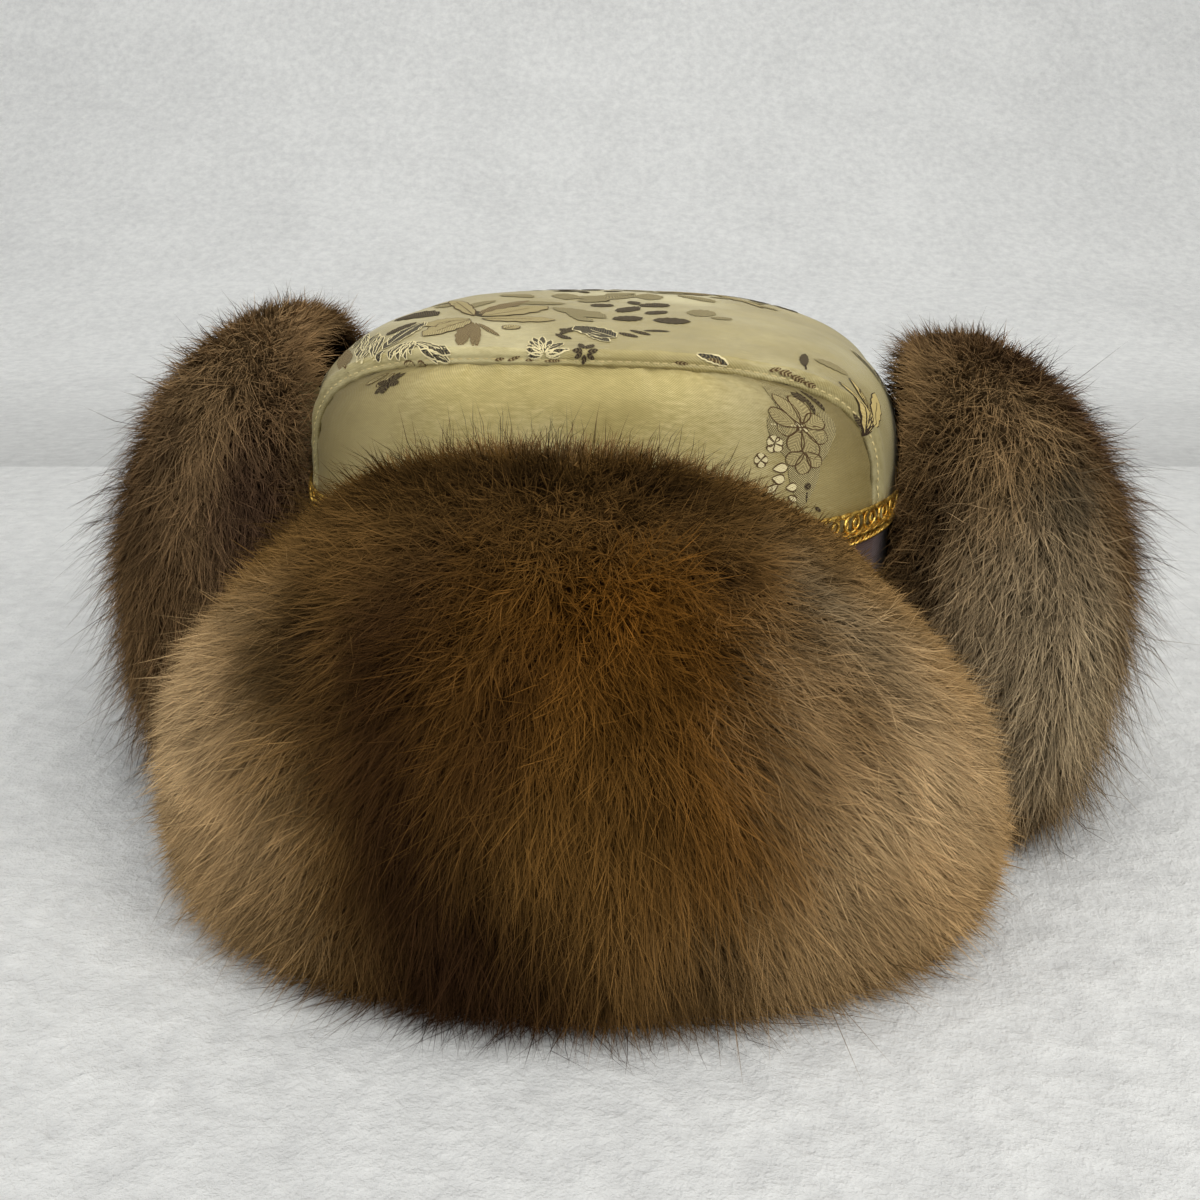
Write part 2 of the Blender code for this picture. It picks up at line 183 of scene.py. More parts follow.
HALF_WIDTH, HALF_DEPTH, OVAL_POWER = 93 * MM, 99 * MM, 2.5
FOOT, TOP, TOP_POWER = 97 * MM, 155 * MM, 3.2
TOP_LEAN, SEAM_LEAN = 0.030, 0.008
SEAM_HALF_WIDTH, SEAM_TOP, SEAM_DEPTH, SEAM_DOME = 85.5 * MM, 149 * MM, 92 * MM, 2.5
PANEL_INSET, PANEL_PUFF, PANEL_SIDE = 4.2 * MM, 2.5 * MM, 0.36
STITCH, PUCKER = 2.6 * MM, 0.34 * MM
ROLL, ROLL_BULGE, PIPING, TUCK, PANEL_TUCK = 4.4 * MM, 1.35 * MM, 1.4 * MM, 2.5 * MM, 2.0 * MM
SATIN_SHADE = (0.36, 0.285, 0.095, 1.0)
SATIN_GOLD = (0.58, 0.475, 0.19, 1.0)
# Pale cream of the satin's painted sheen
SATIN_SHEEN_CREAM = (0.76, 0.665, 0.34, 1.0)
# The satin's colour at its ends, painted in shade beside the fur flaps
SATIN_SHADED_END = (0.30, 0.20, 0.045, 1.0)
STITCH_THREAD = (0.62, 0.50, 0.22, 1.0)
TWILL_PITCH = 0.55 * MM
PANEL_U = 0.35

band_low, band_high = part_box("crown_band")
HAT_AXIS = np.array([(band_low[0] + band_high[0]) / 2, (band_low[1] + band_high[1]) / 2, 0.0])


def dome(share, power):
    return np.maximum(0.0, 1.0 - np.abs(share) ** power) ** (1.0 / power)


def oval_radius(angle):
    across = np.abs(np.cos(angle) / HALF_WIDTH) ** OVAL_POWER
    along = np.abs(np.sin(angle) / HALF_DEPTH) ** OVAL_POWER
    return (across + along) ** (-1.0 / OVAL_POWER)


def oval_point(angle, out, height):
    """Points at this distance out from the crown's plan oval."""
    radius = oval_radius(angle) + out
    flat = np.broadcast_arrays(radius * np.cos(angle), radius * np.sin(angle), height)
    return np.stack(flat, -1) + HAT_AXIS


def oval_depth(x):
    return HALF_DEPTH * dome(x / HALF_WIDTH, OVAL_POWER)


def arch_point(turn, half_width, top, lean):
    power = 2.0 / TOP_POWER
    cosine = np.cos(math.pi * turn)
    x = half_width * np.sign(cosine) * np.abs(cosine) ** power
    rise = np.maximum(0.0, np.sin(math.pi * turn)) ** power
    return x, FOOT + (top - FOOT - lean * x) * rise


def seam_point(turn, inset=0.0):
    x, z = arch_point(turn, SEAM_HALF_WIDTH - inset, SEAM_TOP - inset, SEAM_LEAN)
    rise = (z - FOOT) / (SEAM_TOP - FOOT)
    return np.stack([x, -oval_depth(x) * (1.0 + (SEAM_DEPTH / HALF_DEPTH - 1.0) * rise), z], -1)


def strip_place(turn, across):
    """The strip's outer face: turn from the right side (0) to the left (1), across from front to back."""
    x, z = arch_point(turn, HALF_WIDTH, TOP, TOP_LEAN)
    seam = seam_point(turn)
    swell = 1.0 - np.abs(across) ** SEAM_DOME
    found = [seam[..., 0] + (x - seam[..., 0]) * swell, -seam[..., 1] * across]
    return np.stack(found + [seam[..., 2] + (z - seam[..., 2]) * swell], -1) + HAT_AXIS


def panel_place(across, up):
    """The front panel's outer face, both shares running from 0 to 1."""

    def foot(share):
        x = (SEAM_HALF_WIDTH - PANEL_INSET) * (2.0 * share - 1.0)
        return np.stack([x, -oval_depth(x), np.full_like(x, FOOT)], -1)

    def edge(share):
        return seam_point(1.0 - PANEL_SIDE - (1.0 - 2.0 * PANEL_SIDE) * share, PANEL_INSET)

    across, up = np.broadcast_arrays(np.asarray(across, float), np.asarray(up, float))
    a, u = across[..., None], up[..., None]
    left = seam_point(1.0 - PANEL_SIDE * up, PANEL_INSET)
    right = seam_point(PANEL_SIDE * up, PANEL_INSET)
    zero, one = np.zeros_like(across), np.ones_like(across)
    low = foot(zero) * (1 - a) + foot(one) * a
    high = edge(zero) * (1 - a) + edge(one) * a
    made = foot(across) * (1 - u) + edge(across) * u + left * (1 - a) + right * a - low * (1 - u) - high * u
    made[..., 1] -= PANEL_PUFF * (4.0 * up * (1.0 - up)) ** 2 * dome(2.0 * across - 1.0, 2.0)
    return made + HAT_AXIS


def ruler(points):
    """Distance along a line of points, from its start."""
    return np.append(0.0, np.cumsum(np.linalg.norm(np.diff(points, axis=0), axis=-1)))


shares = np.linspace(0.0, 1.0, 401)
still = 0.0 * shares
strip_x, strip_y = ruler(strip_place(shares, still)), ruler(strip_place(0.5 + still, 2 * shares - 1))
panel_x, panel_y = ruler(panel_place(shares, 0.45 + still)), ruler(panel_place(0.5 + still, shares))
STRIP_SIZE, PANEL_SIZE = (strip_x[-1], strip_y[-1]), (panel_x[-1], panel_y[-1])


def roll_profile(reach):
    """How far the rolled edge of the strip stands out, by the distance gone down from its corner."""
    corner = np.sqrt(1.0 - (1.0 - np.clip(reach / (ROLL / 2), 0.0, 1.0)) ** 2) * ROLL_BULGE
    groove = 0.28 * MM * np.exp(-(((reach - ROLL + PIPING) / (0.45 * MM)) ** 2))
    ending = np.clip((reach - ROLL + PIPING / 2) / (PIPING / 2), 0.0, None) ** 2
    return corner - groove - 0.5 * MM * np.clip(reach / ROLL, 0.0, 1.0) - 0.8 * MM * ending


def on_strip(x, y):
    """A place on the strip from its cloth lengths: x from the left end, y from the front corner.

    Beyond 0 and the full width the cloth goes down over the seam as a soft roll.
    """
    turn = np.interp(STRIP_SIZE[0] - x, strip_x, shares)
    reach = np.maximum(-y, y - STRIP_SIZE[1]).clip(0.0)
    along = seam_point(turn + 0.001) - seam_point(turn - 0.001)
    fall = seam_point(turn, reach) - seam_point(turn)
    out = np.cross(seam_point(turn, MM) - seam_point(turn), along)
    out *= -np.sign(out[..., 1:2]) / (np.linalg.norm(out, axis=-1, keepdims=True) + 1e-12)
    one = reach * 0 + 1
    mirror = np.stack([one, np.sign(STRIP_SIZE[1] / 2 - y), one], -1)
    edge = (fall + out * roll_profile(reach)[..., None]) * mirror
    return strip_place(turn, 2.0 * np.interp(y, strip_y, shares) - 1.0) + edge


def on_panel(x, y):
    """A place on the front panel: x from its left end, y up from the braid; it goes on under the strip."""
    reach = np.maximum(np.maximum(-x, x - PANEL_SIZE[0]), y - PANEL_SIZE[1]).clip(0.0)
    share, up = np.interp(x, panel_x, shares), np.interp(y, panel_y, shares)
    turn = np.where(share < 0.5, 1.0 - PANEL_SIDE * up, PANEL_SIDE * up)
    turn = np.where(up < 1.0, turn, 1.0 - PANEL_SIDE - (1.0 - 2.0 * PANEL_SIDE) * share)
    return panel_place(share, up) + seam_point(turn, PANEL_INSET - reach) - seam_point(turn, PANEL_INSET)


def on_back(x, y):
    made = on_panel(x, y) - HAT_AXIS
    made[..., :2] *= -1.0
    return made + HAT_AXIS


def outward(place, x, y, step=1.0 * MM):
    """Unit normals of a cloth, on the side that turns away from the hat's middle."""
    normal = np.cross(place(x + step, y) - place(x - step, y), place(x, y + step) - place(x, y - step))
    normal /= np.linalg.norm(normal, axis=-1, keepdims=True) + 1e-12
    middle = HAT_AXIS + np.array([0.0, 0.0, 0.08])
    inward = np.sum(normal * (place(x, y) - middle), axis=-1, keepdims=True) < 0.0
    return np.where(inward, -normal, normal)


def wander(seed, x, y, size):
    """Smooth random values from -1 to 1 over a plane, with features of this size."""
    grid = np.random.default_rng(seed).uniform(-1.0, 1.0, (64, 64))
    x, y = np.asarray(x) / size, np.asarray(y) / size
    i, j = np.floor(x).astype(int), np.floor(y).astype(int)
    s, t = x - i, y - j
    s, t = s * s * (3 - 2 * s), t * t * (3 - 2 * t)
    low = grid[i % 64, j % 64] * (1 - s) + grid[(i + 1) % 64, j % 64] * s
    high = grid[i % 64, (j + 1) % 64] * (1 - s) + grid[(i + 1) % 64, (j + 1) % 64] * s
    return low * (1 - t) + high * t


def add_piece(name, points, faces, material, maps=(), values=()):
    """A mesh piece that rides with the hat, with UV maps and colour values given for each vertex."""
    data = bpy.data.meshes.new(name)
    data.from_pydata(np.reshape(points, (-1, 3)).tolist(), [], np.asarray(faces).tolist())
    corners = np.empty(len(data.loops), np.int32)
    data.loops.foreach_get("vertex_index", corners)
    for title, coordinates in maps:
        layer = data.uv_layers.new(name=title)
        layer.uv.foreach_set("vector", np.reshape(coordinates, (-1, 2))[corners].astype(np.float32).ravel())
    for title, colours in values:
        layer = data.color_attributes.new(title, "FLOAT_COLOR", "POINT")
        layer.data.foreach_set("color", np.reshape(colours, (-1, 4)).astype(np.float32).ravel())
    data.shade_smooth()
    data.materials.append(material)
    made = bpy.data.objects.new(name, data)
    bpy.context.scene.collection.objects.link(made)
    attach(made, "root")
    return made


def grid_faces(rows, columns):
    """Quads of a grid whose vertices are numbered along each row."""
    first = (np.arange(rows - 1)[:, None] * columns + np.arange(columns - 1)).ravel()
    return np.stack([first, first + 1, first + columns + 1, first + columns], -1)


def sewn(cloth, x, y):
    """Points of a cloth with its soft unevenness and the small puckers that its seams draw."""
    place, size, seed, margin = cloth
    to_seam = np.minimum(y, size[1] - y) + margin
    along = x
    if margin == 0.0:
        to_seam = np.minimum(np.minimum(x, size[0] - x), size[1] - y)
        along = np.where(to_seam == size[1] - y, x, y)
    to_seam = to_seam.clip(0.0)
    lift = PUCKER * wander(seed, along, to_seam * 0.3, 3.2 * MM) * np.exp(-((to_seam / (9 * MM)) ** 2))
    lift += 0.45 * MM * wander(seed + 1, x, y, 21 * MM) * np.clip(to_seam / (10 * MM), 0.0, 1.0)
    lift += 0.13 * MM * wander(seed + 2, x, y, 7 * MM)
    return place(x, y) + outward(place, x, y) * lift[..., None]


TOP_CLOTH = (on_strip, STRIP_SIZE, 5, ROLL)
FRONT_CLOTH = (on_panel, PANEL_SIZE, 15, 0.0)
BACK_CLOTH = (on_back, PANEL_SIZE, 25, 0.0)

satin, look, inputs = new_finish(
    "brocade_satin", sheen_weight=0.12, sheen_roughness=0.4, specular_ior_level=0.45
)
where = look.node("UVMap", {"uv_map": "cloth"}, {})
u, v = look.across(where, "X"), look.across(where, "Y")
twill = look.wave((u * 0.55 + v) * (2.0 * math.pi / TWILL_PITCH))
slub = look.noise(look.stretched(where, (1.0, 4.0, 1.0)), 260.0, 3.0, 0.7)
patches = look.noise(where, 24.0, 3.0, 0.6) * 0.7 + look.noise(where, 150.0, 3.0) * 0.3
tint = (patches * 0.62 + twill * 0.14 + slub * 0.30).held(0.38, 0.70)
gold = tint.between(SATIN_SHADE, SATIN_GOLD)
# Pale cream patches strewn at random over the satin: painted sheen
cream = (look.noise(where, 15.0, 2.0) * 0.8 + slub * 0.25).held(0.50, 0.70)
# The panels' cloth starts at PANEL_U in the map. Each cloth gets painted shade toward its ends, where the fur
# flaps shade it, and the front and back panels get a brighter painted sheen in their middle.
is_panel = u.held(PANEL_U - 0.05, PANEL_U - 0.04)
from_middle = look.maths("ABSOLUTE", u - 0.13 - is_panel * (PANEL_U - 0.047))
# Painted shade toward each cloth's ends, and painted sheen in the middle of the panels
end_shade = from_middle.held(0.055, 0.11) * (1.0 - is_panel) + from_middle.held(0.030, 0.080) * is_panel
painted_sheen_and_shade = (1.0 - is_panel) * (0.85 - end_shade * 0.32) + is_panel * (1.22 - end_shade * 0.70)
cloth_colour = (end_shade * is_panel * 0.45).between(cream.between(gold, SATIN_SHEEN_CREAM), SATIN_SHADED_END)
look.feed(inputs["Base Color"], look.scaled(cloth_colour, painted_sheen_and_shade))
look.feed(inputs["Roughness"], slub * 0.30 + 0.27)
creases = look.noise(look.stretched(where, (1.0, 0.35, 1.0)), 110.0, 3.0, 0.55)
look.feed(inputs["Normal"], look.bump(twill * 0.06 + slub * 0.10 + creases * 0.55, 1.0 * MM, 0.8))

strip_grid = np.linspace(0.0, STRIP_SIZE[0], 150)
half = (1.0 - np.linspace(1.0, 0.0, 40) ** 1.35) * STRIP_SIZE[1] / 2
edge = -ROLL * (1.0 - np.linspace(0.0, 1.0, 14)[:-1]) ** 1.2
rows = np.concatenate([edge, half, STRIP_SIZE[1] - half[-2::-1], STRIP_SIZE[1] - edge[::-1]])
x, y = np.meshgrid(strip_grid, rows, indexing="ij")
points = sewn(TOP_CLOTH, x, y)
tucked = points[:, [0, -1]] + np.array([[0.0, TUCK, 0.0], [0.0, -TUCK, 0.0]])
points = np.concatenate([tucked[:, :1], points, tucked[:, 1:]], 1)
across = np.concatenate([rows[:1] - TUCK, rows, rows[-1:] + TUCK])
flat = np.stack(np.meshgrid(strip_grid, across, indexing="ij"), -1)
faces = grid_faces(len(strip_grid), len(across))
crown_strip = add_piece("crown_top_strip", points, faces, satin, [("cloth", flat)])
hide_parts("crown_strip")

wide = np.concatenate([[-PANEL_TUCK, -PANEL_TUCK / 2], np.linspace(0, PANEL_SIZE[0], 96)])
wide = np.concatenate([wide, PANEL_SIZE[0] + PANEL_TUCK * np.array([0.5, 1.0])])
tall = np.append(np.linspace(0, PANEL_SIZE[1], 32), PANEL_SIZE[1] + PANEL_TUCK * np.array([0.5, 1.0]))
for name, cloth in (("front", FRONT_CLOTH), ("back", BACK_CLOTH)):
    x, y = np.meshgrid(wide, tall, indexing="ij")
    flat = np.stack([x + PANEL_U, y + 0.1 * cloth[2]], -1)
    faces = grid_faces(len(wide), len(tall))
    panel = add_piece(f"crown_{name}_cloth", sewn(cloth, x, y), faces, satin, [("cloth", flat)])
    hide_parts(f"crown_{name}_panel")

# The line of small stitches that holds each roll.
begins = np.arange(2 * MM, STRIP_SIZE[0] - 3 * MM, STITCH)
x = begins[:, None, None] + np.linspace(0.0, 0.72, 5)[None, :, None] * STITCH + np.zeros((1, 1, 2))
y = -ROLL + PIPING + np.array([-0.17, 0.17]) * MM + 0.0 * x
bow = np.sin(np.linspace(0.0, math.pi, 5))[None, :, None, None] * 0.22 * MM - 0.05 * MM
stitches = []
for level in (y, STRIP_SIZE[1] - y):
    stitches.append(sewn(TOP_CLOTH, x, level) + outward(on_strip, x, level) * bow)
points = np.concatenate(stitches).reshape(-1, 3)
faces = np.concatenate([grid_faces(5, 2) + 10 * k for k in range(2 * len(begins))])
thread, look, inputs = new_finish("stitch_thread", base_color=STITCH_THREAD, roughness=0.5)
add_piece("seam_stitches", points, faces, thread)


# Woven figures: the brocade's pattern of large peonies, leaf sheaves and cherry blossom, woven in dark brown
# and grey silk with cream edges. It is a common pattern, drawn here leaf by leaf on each cloth.

CHARCOAL, DARK_SILK, BROWN_SILK = (0.040, 0.034, 0.026), (0.040, 0.026, 0.014), (0.105, 0.062, 0.026)
GREY_SILK, CREAM_SILK, GOLD_SILK = (0.17, 0.140, 0.070), (0.80, 0.69, 0.38), (0.50, 0.38, 0.14)
FAINT_SILK, GROUND_SILK = (0.30, 0.24, 0.11), (0.66, 0.54, 0.25, 1.0)
BARB_PITCH, MESH_PITCH = 1.15 * MM, 0.62 * MM
FIGURE_LIFT, EDGE_WIDTH = 0.16 * MM, 0.36
# Ways of weaving a leaf: its fill, its edge line and the share of gold hatching over the fill
WOVEN = {
    "fern": (CHARCOAL, CREAM_SILK, 0.20), "dark": (DARK_SILK, None, 0.15), "brown": (BROWN_SILK, None, 0.45),
    "grey": (GREY_SILK, None, 0.50), "line": (FAINT_SILK, BROWN_SILK, 0.6),
    "sheaf": (GOLD_SILK, DARK_SILK, 0.4), "mesh": (GREY_SILK, None, 1.0),
    "veil": (FAINT_SILK, BROWN_SILK, 0.5), "cream": (CREAM_SILK, BROWN_SILK, 0.0),
}
# Leaves and petals in mm of cloth: root x and y, angle, length and width
TOP_LEAVES = {
    "fern": (
        (67, 30, -99, 28, 5.6), (68, 27, -87, 28, 2.9), (70.5, 21.5, -85, 23, 2.4), (82, 33, -103, 31, 7),
        (84, 7, -123, 10, 3.8), (84, 7, -104, 9, 2.7), (84, 7, -83, 8.6, 2), (84.5, 6, -35, 15, 2.6),
        (85, 4, -45, 10.5, 1.6), (124.2, -1.5, 170, 5, 1.3), (124.2, -1.3, 126, 9, 2),
        (124.2, -1.2, 102, 12, 1.8),
        (124.6, -1.2, 82, 8, 1.8), (125, -1.3, 52, 8, 3.2), (125, -1.5, 8, 6, 1.3), (125, -1.8, -4, 4.8, 1.1),
        (123.8, -1.8, -171, 4.1, 1.1), (142.7, 10, 136, 18.6, 7.8), (176, -2.3, 163, 9.7, 1.5),
        (65.2, -0.8, 79, 22.3, 3.6), (67.1, -1.5, 86, 14.6, 2.5), (62.3, 9, 89, 24.2, 3.1),
        (65.6, 8.5, 100, 30, 2.6),
        (57.8, 23.5, 90, 17.1, 3), (72.7, -2.1, 61, 4.6, 1.7), (75.6, 6.7, 75, 25.7, 6.8),
        (77.1, -2, 60, 8.2, 2.5),
        (79.7, -2.5, 67, 7.5, 1.6), (82.3, -2.5, 81, 6.9, 1.5), (86.7, 2.4, -23, 11.3, 2.6),
        (88.2, -0.8, -17, 7.8, 1.8),
        (132.7, 16.1, -44, 13.4, 3.3), (119, 2.2, -34, 6.3, 1.6), (119.7, 9.2, -66, 11, 1.8),
        (131.2, -0.2, -166, 6.1, 1.4),
        (42, 30, -95, 20, 6), (40, 28, -75, 18, 4.5), (226, 60, 60, 26, 7), (224, 58, 95, 24, 6),
        (222, 58, 130, 20, 6),
    ),
    "brown": (
        (59, -2, 99, 34, 4.8), (57, -1.5, 100, 29, 3.3), (60.4, -2.6, 95, 20, 3.8), (98.2, 27, -89, 28, 5),
        (99.3, 25, -81, 27, 1.7), (100, 24.7, -75, 26, 2), (101, 23.5, -62, 17, 1.8), (98, 39, 74, 32, 6.4),
        (187.6, -2, 15, 3.1, 1.3), (190.2, -1.8, 2, 4.1, 1.5), (194, -2.1, -4, 5.2, 1.3),
        (198.7, -2.6, -2, 4.1, 1.2),
        (109.7, -3.3, 6, 3, 0.8), (113.4, -3.4, 11, 4.2, 0.8), (118.6, -3.4, 8, 3.4, 0.8),
        (124.2, -3.4, 5, 6, 0.8),
        (161.3, -2.6, -2, 4.1, 0.9), (174.6, -2.5, 162, 4.7, 1.3),
    ),
    "line": (
        (80.8, -3.8, 3, 3.3, 1.4), (85.6, -3.8, -12, 2.3, 1.7), (97.5, 29, -123, 21, 10),
        (97, 31, -159, 15, 12),
        (97, 37, 111, 49, 5), (99.7, 35, 49, 27, 12), (100.5, 31, -4, 22, 9), (110, 16.4, 55, 5.7, 4.9),
    ),
    "dark": (
        (71.5, 21.6, 60, 15, 5.5), (100.5, 34.7, 118, 12.6, 3.1), (122.7, 77, 28, 9.7, 8),
        (127.9, 65.8, -4, 6.7, 7),
        (126.4, 13.7, 65, 12.1, 3.4), (131.2, 21.8, -43, 14.8, 6.2), (84, 44.7, 145, 22, 12),
        (143.8, 56, 173, 7, 17), (143.5, 65, 60, 12.5, 8.5), (146.4, 52, -19, 6, 11.7),
        (149.8, 35, 13, 11, 9), (146.8, 38, -155, 9.4, 8.8), (141.2, 70, 102, 10.7, 4),
        (130.5, 17.4, 156, 5.7, 3.4),
        (131, 9, 139, 8, 2.6), (142.7, 16, -37, 8, 2.4), (145.3, 19.3, -35, 8.5, 2.2), (149, 19, 17, 7.8, 2),
        (136.6, -0.8, 3, 3, 1.3), (136.1, -0.2, 69, 4.3, 2.4), (135.6, -0.2, 126, 5.6, 2.2),
        (135.2, -0.8, 175, 3.6, 1.3),
        (135.3, -1.2, -159, 3.2, 1.3), (136, -1.5, -100, 2.4, 1.5), (136.5, -1.3, -33, 2.7, 1.3),
        (196.5, 6, 99, 15, 2.8), (225.4, -3.9, 173, 7, 1.1), (227.2, -3.3, 143, 3.7, 1),
    ),
    "grey": (
        (75.3, 73.9, 50, 6.3, 6.8), (78.2, 63.6, 3, 8.5, 9), (90.8, 51.5, 76, 20, 5.8),
        (105.3, 44.7, 31, 12.1, 7.3),
        (118.6, 55.2, -49, 18.3, 7.4), (123.1, 46.9, -37, 13, 6.4), (136.4, 36, 132, 27.6, 8.3),
        (132.7, 30, 123, 17, 4), (131, 79, 165, 8.8, 16), (157.5, 57, 3, 9, 18),
        (165.7, 47, 44, 7.7, 5.6), (118, 78, 100, 20, 9), (108, 76, 135, 20, 8), (128, 84, 60, 22, 8),
        (120, 66, 190, 18, 8), (198, 18, -5, 12, 7),
    ),
    "sheaf": (
        (227.2, -4.1, 154, 20.6, 2.6), (227, -4.1, 131, 25, 2.4), (227, -3.9, 126, 19.7, 2.4),
        (227, -3.8, 100, 30, 5.9),
    ),
}
FRONT_LEAVES = {
    "mesh": (
        (146, 20, 78, 27, 15), (142.7, 9.4, 87, 19.5, 8.8), (146.3, 23.4, 55, 17.6, 6), (141, 22, 100, 16, 8),
    ),
    "veil": (
        (145.3, 34, 92, 8.8, 4.8), (145.8, 34.2, 48, 10, 4.6), (145.8, 33.7, 8, 8, 4.6),
        (145.6, 33, -32, 7.4, 5.0),
        (145.1, 32.4, -80, 8.6, 4.8), (144.6, 32.5, -128, 7.5, 4.4), (144.4, 33.4, 140, 8, 4.8),
        (144.5, 33.2, 180, 6.5, 4),
        (143.8, 26, -150, 5.8, 3.6), (143.9, 26, -100, 6.4, 3.8), (144.4, 26, -55, 5.6, 3.6),
    ),
    "dark": (
        (156.5, 43, 207, 5, 2.6), (152.5, 36.6, 55, 9, 1.6), (157.4, 37.4, 60, 8, 2),
        (144.4, 23, -86, 3.1, 0.9),
        (143.1, 16.3, -5, 2, 2.1), (144, 14.8, -94, 3.3, 0.5), (146.5, 10, -41, 2.5, 0.9),
        (24, 43, 0, 5, 1.8), (24, 43, 180, 5, 1.8), (24.2, 43.2, 60, 3.4, 2.6), (23.8, 43.2, 120, 3.4, 2.6),
        (23.8, 42.8, -115, 3.6, 2.8), (24.2, 42.8, -62, 3.4, 2.6),
    ),
    "cream": (
        (136.1, 29.3, 175, 1.9, 2.3), (136.1, 29.3, 76, 2, 2.3), (136.3, 29.1, 17, 2.2, 2.1),
        (136.3, 28.8, -66, 2.3, 2.2),
        (135.8, 28.6, -129, 2.3, 1.8), (132, 24.6, 180, 1.6, 1.8), (132, 24.7, 82, 1.8, 1.7),
        (132.3, 24.4, 13, 1.6, 1.6),
        (132, 24.2, -82, 1.8, 1.7), (135.1, 21.8, 5, 3.8, 2.3), (134.9, 19.4, -15, 3.2, 2.3),
        (138.4, 16.4, 0, 2.8, 2),
        (136.3, 17.4, -146, 3.2, 1.6), (139.2, 14.1, -43, 2.6, 1.2), (145.2, 33.2, 40, 2, 0.9),
        (145.2, 33.2, 130, 2, 0.9),
        (145.2, 33.2, 220, 2, 0.9), (145.2, 33.2, -40, 2, 0.9),
    ),
    "line": ((16, 46, -120, 4.5, 2.6), (19.5, 46, -70, 4.5, 2.6)),
}
drawn = {"top": [], "front": []}


def leaf(kind, x, y, angle, length, width, fill, line, hatch, blunt=1.0):
    """One leaf or petal from its root at x, y in mm: a toothed patch, its edge lines and a vein."""
    along = np.linspace(0.0, 1.0, 11)
    turn = np.radians(angle + 10.0 * math.sin(3.7 * x + y) * along)
    steps = np.stack([np.cos(turn), np.sin(turn)], -1) * length / 10
    middle = np.array([x, y]) + np.concatenate([np.zeros((1, 2)), np.cumsum(steps[:-1], axis=0)])
    teeth = 1.0 + (0.10 if blunt == 1.0 else 0.0) * (-1.0) ** np.arange(11)
    half = (width / 2 * teeth * np.maximum(np.sin(math.pi * along**blunt), 0.0) ** 0.62)[:, None]
    side = np.stack([-np.sin(turn), np.cos(turn)], -1)
    order = len(drawn[kind]) % 12 * 0.006
    across = np.array([-1.0, 0.0, 1.0])
    patch = middle[:, None] + side[:, None] * (half * across)[..., None]
    barbs = np.stack([along[:, None] * length + 0.0 * across, np.abs(half * across)], -1)
    drawn[kind].append((patch, barbs, fill, hatch, order))
    for sign in (-1.0, 1.0) if line else ():
        edge = np.stack([middle + side * sign * half, middle + side * sign * (half + EDGE_WIDTH)], 1)
        drawn[kind].append((edge, edge, line, 0.0, order + 0.05))
    if line and width > 2.2 and blunt == 1.0:
        vein = np.stack([middle - side * 0.13, middle + side * 0.13], 1)[:8]
        drawn[kind].append((vein, vein, line, 0.0, order + 0.06))


for kind, leaves in (("top", TOP_LEAVES), ("front", FRONT_LEAVES)):
    for way, places in leaves.items():
        for place in places:
            leaf(kind, *place, *WOVEN[way], 1.5 if way in ("veil", "cream", "mesh") else 1.0)
for number in range(9):
    leaf("front", 136.6 + 0.95 * number, 34.4 - 0.1 * number, 0, 0.6, 0.5, CREAM_SILK, None, 0.0)
stalk = np.array([(196.6, 8.0), (197.3, 3.0), (198.0, -1.8)])[:, None] + np.array([[-0.25, 0.0], [0.25, 0.0]])
drawn["top"].append((stalk, stalk, DARK_SILK, 0.0, 0.05))

figure_silk, look, inputs = new_finish("figure_silk", roughness=0.7, specular_ior_level=0.12)
where = look.node("UVMap", {"uv_map": "cloth"}, {})
u, v = look.across(where, "X"), look.across(where, "Y")
vein = look.node("UVMap", {"uv_map": "barbs"}, {})
dye = look.node("Attribute", {"attribute_name": "dye"}, {}, "Color")
share = look.node("Attribute", {"attribute_name": "dye"}, {}, "Alpha")
ragged = look.noise(where, 500.0, 2.0)
aslant = look.across(vein, "X") - look.across(vein, "Y") * 1.3
barbs = look.wave(aslant * (2.0 * math.pi / BARB_PITCH) + ragged * 5.0)
crossing = 2.0 * math.pi / MESH_PITCH
mesh = look.wave((u + v) * crossing) * look.wave((u - v) * crossing)
is_mesh = share.held(0.8, 0.9)
lines = barbs.held(0.45, 0.80) * (1.0 - is_mesh) + mesh.held(0.15, 0.6) * is_mesh
look.feed(inputs["Base Color"], (lines * share).between(dye, GROUND_SILK))
twill = look.wave((u * 0.55 + v) * (2.0 * math.pi / TWILL_PITCH))
look.feed(inputs["Normal"], look.bump(twill * 0.5 + barbs * 0.5, 0.10 * MM, 0.8))

for name, cloth, kind, flip in (
    ("top", TOP_CLOTH, "top", False),
    ("top_rear", TOP_CLOTH, "top", True),
    ("front", FRONT_CLOTH, "front", False),
    ("back", BACK_CLOTH, "front", False),
):
    points, faces, dyes, flats, veins, start = [], [], [], [], [], 0
    for rows, barbs, dye, hatch, lift in drawn[kind]:
        x, y = rows[..., 0] * MM, rows[..., 1] * MM
        if flip:
            x, y = cloth[1][0] - x, cloth[1][1] - y
        y = np.clip(y, -cloth[3], cloth[1][1] + cloth[3])
        height = FIGURE_LIFT + lift * MM
        points.append((sewn(cloth, x, y) + outward(cloth[0], x, y) * height).reshape(-1, 3))
        faces.append(grid_faces(*rows.shape[:2]) + start)
        dyes.append(np.broadcast_to(np.array([*dye, hatch]), (points[-1].shape[0], 4)))
        flats.append(np.stack([x, y], -1).reshape(-1, 2))
        veins.append(barbs.reshape(-1, 2) * MM)
        start += len(points[-1])
    add_piece(
        f"woven_figures_{name}", np.concatenate(points), np.concatenate(faces), figure_silk,
        [("cloth", np.concatenate(flats)), ("barbs", np.concatenate(veins))], [("dye", np.concatenate(dyes))],
    )


# Flap cloths: the brocade side of each flap, which lies next to the crown while the flap is turned up.
# Their solids have the true shape and are seen only in the gaps beside the crown.

